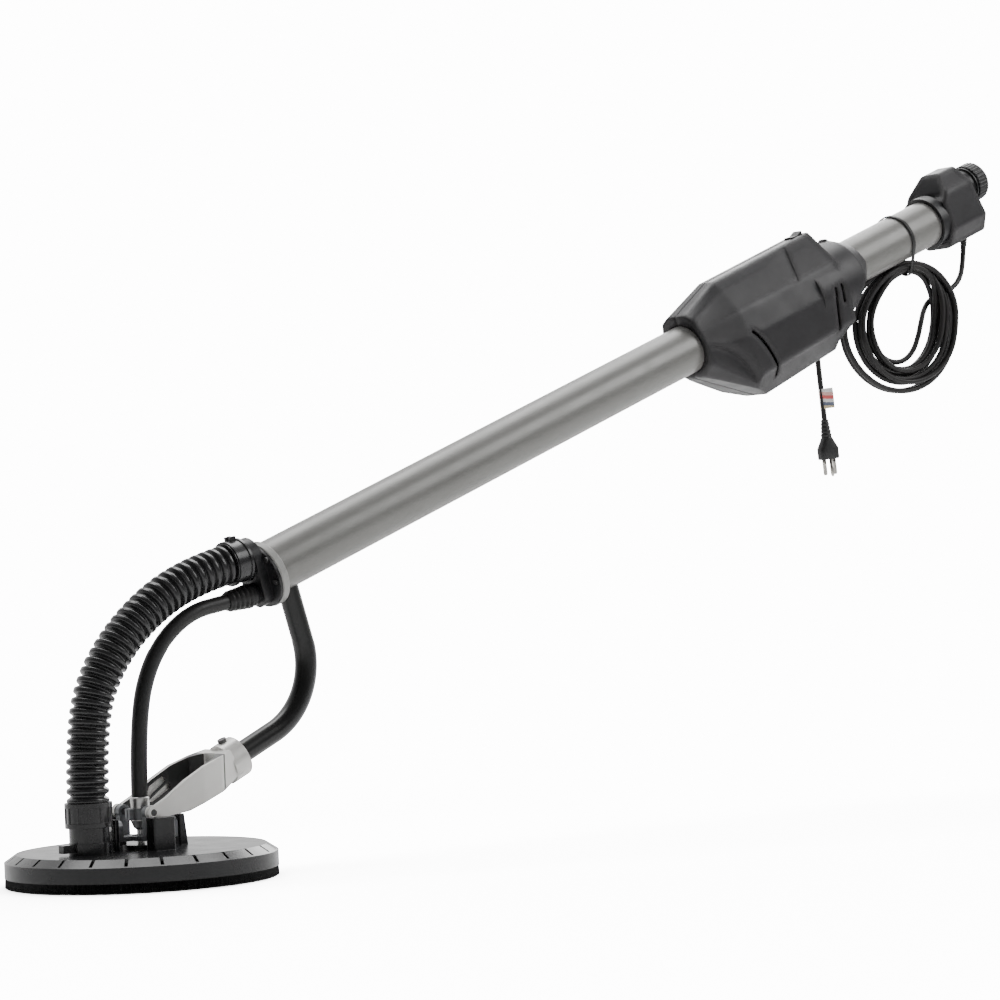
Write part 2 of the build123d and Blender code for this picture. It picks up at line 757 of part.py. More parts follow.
with BuildPart() as air_duct:
    with BuildLine(side_plane()) as duct_path:
        FilletPolyline((612, 6), (636, 6), (664, DUCT_RISE), (778, DUCT_RISE), (804, 6), (832, 6), radius=20)
    with BuildSketch(Plane(origin=duct_path.line @ 0, z_dir=duct_path.line % 0)):
        Circle(DUCT_R)
        Circle(DUCT_R - 1.5, mode=Mode.SUBTRACT)
    sweep()

# ================================================================ motor housing: two halves of one faceted shell
HOUSING_FRONT = 598.0
HOUSING_SHOULDER = 654.0
HOUSING_REAR = 808.0
HOUSING_END = 855.0
LOBE_TAPER = 838.0
LOBE_END_R = 37.0
HOUSING_NOSE = (35.5, -30.5, 15.0, 31.5, 15.0, -2.0)
HOUSING_FULL = (53.5, -81.0, 13.0, 42.0, 16.0, -10.0)
HOUSING_BACK = (55.0, -72.0, 13.0, 45.0, 18.0, -9.0)
HOUSING_ROUND = 4.6
KEEL_LINE = ((594.0, -29.0), (674.0, -79.5))
RECESS = [(731, 53.5), (766, 53.5), (746, 16), (718, 36)]
RECESS_START = 722.0
RECESS_ABOVE = 30.0
RECESS_ACROSS = 29.8
RECESS_FACING = (0.588, 0.809)
RECESS_SLOPE = 2.0
SCOOP_CENTRE = (580.0, -70.0)
SCOOP_R = 72.0
SCOOP_FACE = 31.0
REAR_LOBE_R = 45.0
REAR_LOBE_DROP = -9.0
SHELL = 2.6
DIAL_ALONG = 837.0
DIAL_ABOVE = 31.9
DIAL_R = 6.0
DIAL_AXLE_R = 1.2


def housing_section(top, bottom, crest, waist, sole, waist_at, inset):
    """Symmetric twelve-sided section of the housing, as points on a station plane (up, across)."""
    half = [
        (top - inset, crest - 2 - inset * 0.4),
        (top * 0.84 + waist_at * 0.16 - inset, crest * 1.5 - inset * 0.6),
        (top * 0.45 + waist_at * 0.55, waist * 0.86 - inset),
        (waist_at, waist - inset),
        (bottom * 0.6 + waist_at * 0.4, waist * 0.94 - inset),
        (bottom + inset, sole - inset * 0.4),
    ]
    return half + [(up, -across) for up, across in reversed(half)]


def housing_station(along, sizes, inset):
    """One rounded section of the housing, drawn across the pole."""
    with BuildSketch(station(along)) as section:
        Polygon(*housing_section(*sizes, inset), align=None)
        fillet(section.vertices(), radius=HOUSING_ROUND - inset)
    return section.sketch


def housing_body(inset):
    """Outer form of the housing, or its hollow when an inset is given."""
    with BuildPart() as body:
        nose = housing_station(HOUSING_FRONT + inset, HOUSING_NOSE, inset)
        shoulder = housing_station(HOUSING_SHOULDER + inset / 2, HOUSING_FULL, inset)
        back = housing_station(HOUSING_REAR - inset, HOUSING_BACK, inset)
        loft([nose, shoulder], ruled=True)
        loft([shoulder, back], ruled=True)
        with BuildSketch(station(HOUSING_REAR - 40, REAR_LOBE_DROP)):
            Circle(REAR_LOBE_R - inset)
        extrude(amount=LOBE_TAPER - HOUSING_REAR + 40)
        lobe = Solid.make_cone(
            REAR_LOBE_R - inset,
            LOBE_END_R - inset,
            HOUSING_END - LOBE_TAPER - inset,
            plane=station(LOBE_TAPER, REAR_LOBE_DROP),
        )
        add(lobe)
        # raked tail: everything behind the line from the rear face down to the sole is cut away
        with BuildSketch(side_plane()):
            with BuildLine():
                Polyline(
                    (HOUSING_END + 2 - inset, 4 + inset),
                    (835 - inset, -16 + inset),
                    (816 - inset, -42 + inset),
                    (789 - inset, -64 + inset),
                    (787 - inset, -100),
                    (HOUSING_END + 60, -100),
                    (HOUSING_END + 60, 4 + inset),
                    close=True,
                )
            make_face()
        extrude(amount=60, both=True, mode=Mode.SUBTRACT)
        # slanting underside of the nose
        (nose_t, nose_n), (keel_t, keel_n) = KEEL_LINE
        with BuildSketch(side_plane()):
            with BuildLine():
                Polyline(
                    (nose_t, nose_n + inset),
                    (keel_t, keel_n + inset),
                    (keel_t, keel_n - 30),
                    (nose_t, keel_n - 30),
                    close=True,
                )
            make_face()
        extrude(amount=80, both=True, mode=Mode.SUBTRACT)
        # scooped cheek on each side of the nose
        for side in (1, -1):
            with BuildSketch(side_plane(side * (SCOOP_FACE - inset))):
                with Locations(SCOOP_CENTRE):
                    Circle(SCOOP_R + inset)
            extrude(amount=-side * 40, taper=-28, mode=Mode.SUBTRACT)
    return body.part


housing_outer = housing_body(0.0)
housing_inner = housing_body(SHELL)


def housing_half(side):
    """One half of the shell, with its tube seats, vents and screw holes; side 1 is +Y, -1 is -Y."""
    with BuildPart() as half:
        add(housing_outer)
        add(housing_inner, mode=Mode.SUBTRACT)
        with BuildSketch(station(HOUSING_FRONT - 2)):
            Circle(TUBE_R + GAP)
        extrude(amount=60, mode=Mode.SUBTRACT)
        with BuildSketch(station(REAR_TUBE[0])):
            Circle(TUBE_R + GAP)
        extrude(amount=80, mode=Mode.SUBTRACT)
        # one long curved vent behind the cheek and two upright ones near the rear
        with BuildSketch(side_plane(0)):
            with BuildLine():
                CenterArc(SCOOP_CENTRE, 101, 4, 36)
            trace(line_width=4)
            with Locations(Location((785.5, -27), 79)):
                SlotOverall(47, 4)
            with Locations(Location((799, -14), 86)):
                SlotOverall(21, 4)
        extrude(amount=-side * 60, mode=Mode.SUBTRACT)
        # thumb recess on the upper side face, shallow at its front edge and deeper at its rear one
        face = Plane(
            origin=pole_point(RECESS_START, RECESS_ABOVE, side * RECESS_ACROSS),
            x_dir=pole.z_dir,
            z_dir=Vector(*pole.x_dir) * RECESS_FACING[0] + Vector(0, side * RECESS_FACING[1], 0),
        )
        with BuildSketch(face.rotated((0, RECESS_SLOPE, 0))):
            corners = []
            for along, above in RECESS:
                corners.append((along - RECESS_START, -side * (above - RECESS_ABOVE) / RECESS_FACING[1]))
            Polygon(*corners, align=None)
        extrude(amount=14, mode=Mode.SUBTRACT)
        # openings on the top for the rocker switch and the speed wheel, shared by both halves
        with BuildSketch(station(787.4, 50)):
            Rectangle(20, 12.6)
        extrude(amount=19.2, mode=Mode.SUBTRACT)
        with BuildSketch(station(DIAL_ALONG - 7, DIAL_ABOVE)):
            Rectangle(16, 7.6)
        extrude(amount=14, mode=Mode.SUBTRACT)
        # lugs that carry the wheel's stub axle
        with BuildSketch(side_plane(side * 3.8)):
            with Locations((DIAL_ALONG, DIAL_ABOVE)):
                Circle(2.8)
        extrude(amount=-side * 2.8)
        with BuildSketch(side_plane(side * 3)):
            with Locations((DIAL_ALONG, DIAL_ABOVE)):
                Circle(DIAL_AXLE_R + RUNNING)
        extrude(amount=-side * 4, mode=Mode.SUBTRACT)
        split(bisect_by=Plane.XZ.offset(-side * GAP / 2), keep=Keep.BOTTOM if side > 0 else Keep.TOP)
    return half.part


housing_right = housing_half(1)
housing_left = housing_half(-1)

with BuildPart() as housing_screws:
    for along, above in ((676, -61), (780, -61)):
        with BuildSketch(side_plane(24)):
            with Locations((along, above)):
                Circle(1.8)
        extrude(amount=48)

# ================================================================ motor and gearing inside the housing
SHAFT_R = 4.0
STATOR_R = 24.5
ROTOR_R = 14.0

with BuildPart() as motor_mounts:
    with BuildSketch(station(680)):
        with Locations((-25, 0)):
            Rectangle(70, 50)
        with Locations((MOTOR_DROP, 0)):
            Circle(8, mode=Mode.SUBTRACT)
        with Locations((SHAFT_DROP, 0)):
            Circle(6, mode=Mode.SUBTRACT)
    extrude(amount=5)
    with BuildSketch(station(786, MOTOR_DROP)):
        Rectangle(34, 36)
        Circle(8, mode=Mode.SUBTRACT)
    extrude(amount=5)

with BuildPart() as motor_field:
    with BuildSketch(station(702, MOTOR_DROP)):
        Circle(STATOR_R)
        Circle(ROTOR_R + 0.8, mode=Mode.SUBTRACT)
    extrude(amount=42)

with BuildPart() as motor_bearings:
    for along, drop, outer in ((680, MOTOR_DROP, 8), (786, MOTOR_DROP, 8), (680, SHAFT_DROP, 6)):
        with BuildSketch(station(along, drop)):
            Circle(outer - RUNNING)
            Circle(SHAFT_R + RUNNING, mode=Mode.SUBTRACT)
        extrude(amount=5)

with BuildPart() as brush_holders:
    for side in (1, -1):
        with BuildSketch(station(764, MOTOR_DROP, side * 18)):
            Rectangle(9, 16)
        extrude(amount=9)

with BuildPart() as armature_shaft:
    with BuildSketch(station(676.5, MOTOR_DROP)):
        Circle(SHAFT_R)
    extrude(amount=115)
    with BuildSketch(station(MOTOR_FRONT, MOTOR_DROP)):
        Polygon(*gear_outline(PINION_TEETH, MODULE), align=None)
    extrude(amount=8.5)

with BuildPart() as rotor_core:
    with BuildSketch(station(703, MOTOR_DROP)):
        Circle(ROTOR_R)
        Circle(SHAFT_R, mode=Mode.SUBTRACT)
        with PolarLocations(ROTOR_R - 1.5, 12):
            Rectangle(4, 1.6, mode=Mode.SUBTRACT)
    extrude(amount=40)

with BuildPart() as commutator:
    with BuildSketch(station(760, MOTOR_DROP)):
        Circle(9.5)
        Circle(SHAFT_R, mode=Mode.SUBTRACT)
    extrude(amount=16)

with BuildPart() as motor_fan:
    with BuildSketch(station(690, MOTOR_DROP)):
        Circle(8)
        Circle(SHAFT_R, mode=Mode.SUBTRACT)
    extrude(amount=8)
    with BuildSketch(station(690, MOTOR_DROP)):
        Circle(20)
        Circle(7, mode=Mode.SUBTRACT)
    extrude(amount=1.5)
    with BuildSketch(station(690, MOTOR_DROP)):
        with PolarLocations(13.5, 10):
            Rectangle(12, 1.4)
    extrude(amount=7)

with BuildPart() as output_gear:
    with BuildSketch(station(MOTOR_FRONT, SHAFT_DROP)):
        with BuildSketch(mode=Mode.PRIVATE) as teeth:
            Polygon(*gear_outline(GEAR_TEETH, MODULE), align=None)
        with Locations(Location((0, 0), 180 / GEAR_TEETH + 180)):
            add(teeth.sketch)
        Circle(SHAFT_R, mode=Mode.SUBTRACT)
    extrude(amount=7)

with BuildPart() as output_shaft:
    with BuildSketch(station(MOTOR_FRONT - 18, SHAFT_DROP)):
        Circle(SHAFT_R)
    extrude(amount=34)
    with BuildSketch(station(MOTOR_FRONT - 18, SHAFT_DROP)):
        Circle(CORE_R + GAP)
    extrude(amount=6, mode=Mode.SUBTRACT)

# ================================================================ controls
with BuildPart() as power_switch:
    with BuildSketch(side_plane(6)):
        with BuildLine():
            Polyline((789, 51.5), (789, 56.5), (797, 55.6), (805, 58.5), (805, 51.5), close=True)
        make_face()
        with Locations((797, 52.5)):
            Circle(2.6)
    extrude(amount=12)

with BuildPart() as speed_dial:
    with BuildSketch(side_plane(3.4)):
        with Locations((DIAL_ALONG, DIAL_ABOVE)):
            Circle(DIAL_R)
            with PolarLocations(DIAL_R, 20):
                Circle(0.45, mode=Mode.SUBTRACT)
    extrude(amount=6.8)
    with BuildSketch(side_plane(6.2)):
        with Locations((DIAL_ALONG, DIAL_ABOVE)):
            Circle(DIAL_AXLE_R)
    extrude(amount=12.4)

# ================================================================ rear end of the pole
CAP_START = 1009.0
CAP_END = 1072.0
CAP_TOP_END = 1057.0
OUTLET_START = 1056.0
OUTLET_LENGTH = 44.0
RING_START = 1081.0
OUTLET_ABOVE = 18.0
OUTLET_R = 18.5
OUTLET_BORE = 16.0
RING_R = 22.0
RELIEF_LENGTH = 16.0
relief_plane = Plane(origin=pole_point(1056, -31), x_dir=(0, 1, 0), z_dir=(-0.12, 0, -0.99))


def cap_form(inset):
    """Body of the rear cap, or its hollow when an inset is given."""
    with BuildPart() as form:
        with BuildSketch(station(CAP_START + inset)) as section:
            Polygon(
                (47 - inset, 13), (28, 28 - inset), (-14, 30 - inset), (-34 + inset, 17),
                (-34 + inset, -17), (-14, inset - 30), (28, inset - 28), (47 - inset, -13),
                align=None,
            )
            fillet(section.vertices(), radius=7 - inset)
        extrude(amount=CAP_END - CAP_START - 2 * inset)
        with BuildSketch(side_plane()):
            with BuildLine():
                Polyline((CAP_START - 4, 14), (CAP_START + 26 + inset, 53), (CAP_START - 4, 53), close=True)
            make_face()
            with BuildLine():
                Polyline(
                    (CAP_END - inset, -36),
                    (CAP_TOP_END - inset, 48),
                    (CAP_END + 20, 48),
                    (CAP_END + 20, -36),
                    close=True,
                )
            make_face()
        extrude(amount=60, both=True, mode=Mode.SUBTRACT)
    return form.part


cap_outer = cap_form(0.0)
cap_inner = cap_form(3.0)

with BuildPart() as rear_cap:
    add(cap_outer)
    add(cap_inner, mode=Mode.SUBTRACT)
    with BuildSketch(station(CAP_START - 1)):
        Circle(TUBE_R + GAP)
    extrude(amount=30, mode=Mode.SUBTRACT)
    with BuildSketch(station(OUTLET_START - 1, OUTLET_ABOVE)):
        Circle(OUTLET_R + GAP / 2)
    extrude(amount=20, mode=Mode.SUBTRACT)
    with BuildSketch(relief_plane.offset(-12)):
        Circle(4.2 + GAP / 2)
    extrude(amount=30, mode=Mode.SUBTRACT)

with BuildPart() as rear_collar:
    with BuildSketch(station(997)):
        Circle(29.5)
        Circle(TUBE_R + GAP / 2, mode=Mode.SUBTRACT)
    extrude(amount=CAP_START - 997)

with BuildPart() as hose_outlet:
    with BuildSketch(station(OUTLET_START, OUTLET_ABOVE)):
        Circle(OUTLET_R)
    extrude(amount=OUTLET_LENGTH)
    with BuildSketch(station(RING_START - 3, OUTLET_ABOVE)):
        Circle(20.5)
    extrude(amount=1.9)
    with BuildSketch(station(OUTLET_START, OUTLET_ABOVE)):
        Circle(OUTLET_BORE)
    extrude(amount=OUTLET_LENGTH, mode=Mode.SUBTRACT)

with BuildPart() as hose_lock_ring:
    with BuildSketch(station(RING_START, OUTLET_ABOVE)):
        Circle(RING_R)
        with PolarLocations(RING_R, 24):
            Circle(0.9, mode=Mode.SUBTRACT)
        Circle(OUTLET_R + RUNNING, mode=Mode.SUBTRACT)
    extrude(amount=16)

# ================================================================ mains cord
with BuildPart() as cord_strain_relief:
    with BuildSketch(relief_plane):
        Circle(4.2)
    with BuildSketch(relief_plane.offset(RELIEF_LENGTH)):
        Circle(CORD_R + 0.4)
    loft()
    with BuildSketch(relief_plane.offset(-6)):
        Circle(4.2)
    extrude(amount=6)

lead_route = [
    tuple(relief_plane.from_local_coords((0, 0, RELIEF_LENGTH))),
    tuple(relief_plane.from_local_coords((0, 0, RELIEF_LENGTH + 19))),
    (1114.0, -8.0, 566.5),
    (1098.0, -13.5, 555.5),
    (1080.0, -16.0, 548.0),
]
tail_route = [
    (958.0, 19.0, 546.0),
    (944.0, 23.0, 545.0),
    (930.0, 25.0, 534.5),
    (919.5, 26.0, 514.0),
    (915.0, 25.5, 486.0),
    (915.5, 25.0, 452.0),
    (919.5, 25.0, 411.0),
]
lead_radii = soft_radii(lead_route)
tail_radii = soft_radii(tail_route)
power_cord_lead = swept_tube(lead_route, CORD_R, 0, lead_radii)
power_cord_tail = swept_tube(tail_route, CORD_R, 0, tail_radii)
report_route("power_cord_lead", lead_route, lead_radii, CORD_R, power_cord_lead)
report_route("power_cord_tail", tail_route, tail_radii, CORD_R, power_cord_tail)

COIL_CENTRE = (1021.0, 0.5, 503.5)
COIL_HALF_THICK = 12.0
COIL_OUTLINE = [
    (22, 83), (48, 66), (66, 38), (73, 8), (66, -18), (50, -45), (24, -62),
    (-4, -67), (-34, -61), (-60, -44), (-77, -22), (-80, 2), (-74, 28), (-56, 49), (-26, 65), (2, 75),
]
COIL_WINDOW = [(17, 60), (25, 33), (20, 0), (4, -26), (-8, -29), (-25, -11), (-39, 16), (-39, 38), (-24, 55), (-4, 63)]
coil_turn = radians(COIL_TILT)
coil_plane = Plane(
    origin=COIL_CENTRE,
    x_dir=(cos(coil_turn), sin(coil_turn), 0),
    z_dir=(sin(coil_turn), -cos(coil_turn), 0),
)

with BuildPart() as power_cord_coil:
    with BuildSketch(coil_plane):
        with BuildLine():
            Spline(*COIL_OUTLINE, periodic=True)
        make_face()
        with BuildLine():
            Spline(*COIL_WINDOW, periodic=True)
        make_face(mode=Mode.SUBTRACT)
    extrude(amount=COIL_HALF_THICK, both=True)

TIE_ALONG = 945.0
with BuildPart() as cord_tie:
    with BuildSketch(station(TIE_ALONG)):
        with BuildSketch(mode=Mode.PRIVATE) as belt_outer:
            Circle(TUBE_R + 1.5)
            with Locations((-40.0, 3.7)):
                Circle(19.6)
            make_hull()
        with BuildSketch(mode=Mode.PRIVATE) as belt_inner:
            Circle(TUBE_R + 0.2)
            with Locations((-40.0, 3.7)):
                Circle(18.4)
            make_hull()
        add(belt_outer.sketch)
        add(belt_inner.sketch, mode=Mode.SUBTRACT)
    extrude(amount=4)

tail_end = Vector(*tail_route[-1])
tail_last = (tail_end - Vector(*tail_route[-2])).normalized()
plug_plane = Plane(origin=tail_end, x_dir=(cos(radians(-12)), sin(radians(-12)), 0), z_dir=tail_last)
tag_plane = Plane(origin=tail_end - tail_last * 34, x_dir=plug_plane.x_dir, z_dir=tail_last)

with BuildPart() as plug_body:
    with BuildSketch(plug_plane):
        Circle(CORD_R + 0.6)
    with BuildSketch(plug_plane.offset(20)):
        Circle(5.6)
    loft()
    with BuildSketch(plug_plane.offset(20)):
        RectangleRounded(15, 12, 4)
    with BuildSketch(plug_plane.offset(30)):
        RectangleRounded(23, 14, 4)
    loft()
    with BuildSketch(plug_plane.offset(30)):
        RectangleRounded(23, 14, 4)
    extrude(amount=13)

with BuildPart() as plug_blades:
    for across in (-6.35, 6.35):
        with BuildSketch(plug_plane.offset(43)):
            with Locations((across, 0)):
                Rectangle(1.5, 6.3)
        extrude(amount=17)

with BuildPart() as cord_tag:
    with BuildSketch(tag_plane):
        Circle(CORD_R + 0.6)
        with Locations((8, 0)):
            Rectangle(13, 0.8)
        Circle(CORD_R + 0.2, mode=Mode.SUBTRACT)
    extrude(amount=22)

# ================================================================ write every piece
built = {
    "abrasive_disc": abrasive_disc, "foam_pad": foam_pad, "backing_plate": backing_plate,
    "drive_spindle": drive_spindle, "pad_screws": pad_screws, "shroud": shroud,
    "spindle_bearings": spindle_bearings, "bearing_retainer": bearing_retainer,
    "skirt_ring": skirt_ring, "skirt_bristles": skirt_bristles, "shaft_ferrule": shaft_ferrule,
    "ferrule_clamp": ferrule_clamp, "hose_connector": hose_connector, "hose_collar": hose_collar,
    "gimbal_frame": gimbal_frame, "roll_pins": roll_pins, "control_arm": control_arm, "yoke": yoke,
    "yoke_clamp_screw": yoke_clamp_screw, "yoke_pins": yoke_pins, "front_flange": front_flange,
    "front_end_cap": front_end_cap, "end_cap_screws": end_cap_screws,
    "upper_hose_cuff": upper_hose_cuff, "shaft_boot": shaft_boot, "main_tube": main_tube,
    "rear_tube": rear_tube, "inner_shaft_liner": inner_shaft_liner, "tube_bulkhead": tube_bulkhead,
    "air_duct": air_duct, "housing_screws": housing_screws,
    "motor_field": motor_field, "motor_bearings": motor_bearings,
    "motor_mounts": motor_mounts, "brush_holders": brush_holders,
    "armature_shaft": armature_shaft, "rotor_core": rotor_core,
    "commutator": commutator, "motor_fan": motor_fan, "output_gear": output_gear,
    "output_shaft": output_shaft, "power_switch": power_switch,
    "speed_dial": speed_dial, "rear_cap": rear_cap, "rear_collar": rear_collar,
    "hose_outlet": hose_outlet, "hose_lock_ring": hose_lock_ring,
    "cord_strain_relief": cord_strain_relief, "power_cord_coil": power_cord_coil,
    "cord_tie": cord_tie, "cord_tag": cord_tag, "plug_body": plug_body, "plug_blades": plug_blades,
}
for piece_name, builder in built.items():
    save(piece_name, builder.part)
save("housing_left", housing_left)
save("housing_right", housing_right)
save("corrugated_hose", corrugated_hose)
save("shaft_casing", shaft_casing)
save("flex_core", flex_core)
save("power_cord_lead", power_cord_lead)
save("power_cord_tail", power_cord_tail)
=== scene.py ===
import bpy
import json
import random
from math import cos, floor, pi, radians, sin
from mathutils import Matrix, Vector


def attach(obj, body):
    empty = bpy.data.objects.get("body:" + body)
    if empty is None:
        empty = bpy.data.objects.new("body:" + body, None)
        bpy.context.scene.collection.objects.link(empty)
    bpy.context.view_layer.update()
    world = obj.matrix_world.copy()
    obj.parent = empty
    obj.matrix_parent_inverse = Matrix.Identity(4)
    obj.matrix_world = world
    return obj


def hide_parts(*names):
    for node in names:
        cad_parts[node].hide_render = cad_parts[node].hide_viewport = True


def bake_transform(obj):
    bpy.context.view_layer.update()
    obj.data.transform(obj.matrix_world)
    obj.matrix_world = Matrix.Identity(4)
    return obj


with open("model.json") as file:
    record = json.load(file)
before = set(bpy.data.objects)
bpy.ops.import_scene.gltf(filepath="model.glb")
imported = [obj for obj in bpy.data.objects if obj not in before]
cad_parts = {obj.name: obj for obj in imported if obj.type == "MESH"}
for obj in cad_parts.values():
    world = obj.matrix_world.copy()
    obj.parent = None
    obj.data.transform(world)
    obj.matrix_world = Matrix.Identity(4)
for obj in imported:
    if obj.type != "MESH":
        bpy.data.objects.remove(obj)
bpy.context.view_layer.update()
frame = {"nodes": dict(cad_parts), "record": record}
nodes = frame["nodes"]
random.seed(7)

# ---------------------------------------------------------------- sizes, metres
MM = 0.001
POLE_RISE = radians(21.2)
POLE_FOOT = Vector((0.1355, 0, 0.2663))
POLE_RUN = Vector((cos(POLE_RISE), 0, sin(POLE_RISE)))
POLE_UP = Vector((-sin(POLE_RISE), 0, cos(POLE_RISE)))
ACROSS = Vector((0, 1, 0))
CORD_D = 6 * MM
COIL_CENTRE = Vector((1.021, 0.0005, 0.5035))
COIL_TILT = radians(-15)
COIL_U = Vector((cos(COIL_TILT), sin(COIL_TILT), 0))
COIL_W = Vector((sin(COIL_TILT), -cos(COIL_TILT), 0))
UP = Vector((0, 0, 1))
# CHEEK_INNER and CHEEK_END bound the painted shade on the yoke's inner cheek faces
CHEEK_INNER = 24.7 * MM
CHEEK_END = 77 * MM


def pole_point(along, above=0.0, across=0.0):
    """Point at a distance in mm along the pole, above its axis and across it."""
    return POLE_FOOT + (POLE_RUN * along + POLE_UP * above + ACROSS * across) * MM


def coil_point(u, z, w):
    """Point of the cord's coil, in mm in the coil's own plane, w towards its front."""
    return COIL_CENTRE + (COIL_U * u + UP * z + COIL_W * w) * MM


def link(obj):
    """Puts a new object in the scene."""
    bpy.context.scene.collection.objects.link(obj)
    return obj


# ---------------------------------------------------------------- camera, at the photo's viewing angle
camera = link(bpy.data.objects.new("camera", bpy.data.cameras.new("camera")))
camera.matrix_world = Matrix((
    (0.7660, 0.0175, -0.6426, -1.5583),
    (-0.6414, -0.0456, -0.7658, -2.3740),
    (-0.0427, 0.9988, -0.0237, 0.2577),
    (0, 0, 0, 1),
))
camera.data.lens = 113.7
camera.data.sensor_width = 36
bpy.context.scene.camera = camera


# ---------------------------------------------------------------- materials
# most values of a noise lie between NOISE_LOW and NOISE_HIGH; scales are per metre
NOISE_LOW = 0.3
NOISE_HIGH = 0.7
TONE_LOW = 0.32
TONE_HIGH = 0.68
TONE_SCALE = 9.0
POLISH_SCALE = 45.0
POLISH_LOW = 0.88
POLISH_HIGH = 1.14
GRAIN_HEIGHT = 0.2 * MM
PAPER_GRAIN_HEIGHT = 0.1 * MM
BEVEL_SAMPLES = 8
COAT_ROUGHNESS = 0.12
# painted shade: dark colour put on the inner faces between the yoke's cheeks, where shade falls
PAINTED_CHEEK_SHADE = (0.06, 0.06, 0.06, 1)
TAG_LOW = 0.4229
TAG_HIGH = 0.4448
TAG_BANDS = [
    (0.6, 0.5, 0.3),
    (0.12, 0.14, 0.2),
    (0.75, 0.74, 0.72),
    (0.7, 0.12, 0.12),
    (0.75, 0.45, 0.4),
    (0.8, 0.8, 0.78),
]


def shader(name, color, roughness, metallic=0.0):
    """New material, its node tree, its surface shader and its object coordinates."""
    made = bpy.data.materials.new(name)
    made.use_nodes = True
    tree = made.node_tree
    surface = tree.nodes["Principled BSDF"]
    surface.inputs["Base Color"].default_value = (*color, 1)
    surface.inputs["Roughness"].default_value = roughness
    surface.inputs["Metallic"].default_value = metallic
    where = tree.nodes.new("ShaderNodeTexCoord")
    return made, tree, surface, where.outputs["Object"]


def noise(tree, where, scale, detail=3.0):
    """Noise over the object's own space."""
    texture = tree.nodes.new("ShaderNodeTexNoise")
    texture.inputs["Scale"].default_value = scale
    texture.inputs["Detail"].default_value = detail
    tree.links.new(where, texture.inputs["Vector"])
    return texture.outputs["Fac"]


def mapped(tree, value, low, high):
    """Rescales a noise's usual span to run between low and high."""
    ramp = tree.nodes.new("ShaderNodeMapRange")
    ramp.inputs["From Min"].default_value = NOISE_LOW
    ramp.inputs["From Max"].default_value = NOISE_HIGH
    ramp.inputs["To Min"].default_value = low
    ramp.inputs["To Max"].default_value = high
    tree.links.new(value, ramp.inputs["Value"])
    return ramp.outputs["Result"]


def tinted(tree, value, dark, light):
    """Colour that runs from dark to light with a value."""
    ramp = tree.nodes.new("ShaderNodeValToRGB")
    ramp.color_ramp.elements[0].position = TONE_LOW
    ramp.color_ramp.elements[1].position = TONE_HIGH
    ramp.color_ramp.elements[0].color = (*dark, 1)
    ramp.color_ramp.elements[1].color = (*light, 1)
    tree.links.new(value, ramp.inputs["Fac"])
    return ramp.outputs["Color"]


def relief(tree, surface, height, strength, distance, edge=0.0):
    """Bump from a height, over edges rounded by edge metres."""
    bump = tree.nodes.new("ShaderNodeBump")
    bump.inputs["Strength"].default_value = strength
    bump.inputs["Distance"].default_value = distance
    tree.links.new(height, bump.inputs["Height"])
    if edge > 0:
        rounding = tree.nodes.new("ShaderNodeBevel")
        rounding.samples = BEVEL_SAMPLES
        rounding.inputs["Radius"].default_value = edge
        tree.links.new(rounding.outputs["Normal"], bump.inputs["Normal"])
    tree.links.new(bump.outputs["Normal"], surface.inputs["Normal"])


def grained(name, color, roughness, metallic=0.0, grain=900.0, depth=0.25, vary=0.18, edge=0.4):
    """Material with a fine grain, a slow change of tone and an uneven polish; edge is in mm."""
    made, tree, surface, where = shader(name, color, roughness, metallic)
    slow = noise(tree, where, TONE_SCALE)
    dark = [c * (1 - vary) for c in color]
    light = [c * (1 + vary) for c in color]
    tree.links.new(tinted(tree, slow, dark, light), surface.inputs["Base Color"])
    patches = noise(tree, where, POLISH_SCALE)
    polish = mapped(tree, patches, roughness * POLISH_LOW, roughness * POLISH_HIGH)
    tree.links.new(polish, surface.inputs["Roughness"])
    fine = noise(tree, where, grain, detail=2.0)
    relief(tree, surface, fine, depth, GRAIN_HEIGHT, edge * MM)
    return made


def glossy(name, color, roughness, coat):
    """Shiny soft plastic with a clear top layer."""
    made = grained(name, color, roughness, grain=300.0, depth=0.08, edge=0.3)
    surface = made.node_tree.nodes["Principled BSDF"]
    surface.inputs["Coat Weight"].default_value = coat
    surface.inputs["Coat Roughness"].default_value = COAT_ROUGHNESS
    return made


def banded(name, bands, axis, low, high, roughness):
    """Plain colour bands along an axis of the object's own space, from low to high in metres."""
    made, tree, surface, where = shader(name, bands[0], roughness)
    split = tree.nodes.new("ShaderNodeSeparateXYZ")
    tree.links.new(where, split.inputs["Vector"])
    span = tree.nodes.new("ShaderNodeMapRange")
    span.inputs["From Min"].default_value = low
    span.inputs["From Max"].default_value = high
    tree.links.new(split.outputs[axis], span.inputs["Value"])
    ramp = tree.nodes.new("ShaderNodeValToRGB")
    ramp.color_ramp.interpolation = "CONSTANT"
    for k, color in enumerate(bands):
        place = k / len(bands)
        stop = ramp.color_ramp.elements[k] if k < 2 else ramp.color_ramp.elements.new(place)
        stop.position = place
        stop.color = (*color, 1)
    tree.links.new(span.outputs["Result"], ramp.inputs["Fac"])
    tree.links.new(ramp.outputs["Color"], surface.inputs["Base Color"])
    relief(tree, surface, noise(tree, where, 1500.0), 0.15, PAPER_GRAIN_HEIGHT)
    return made


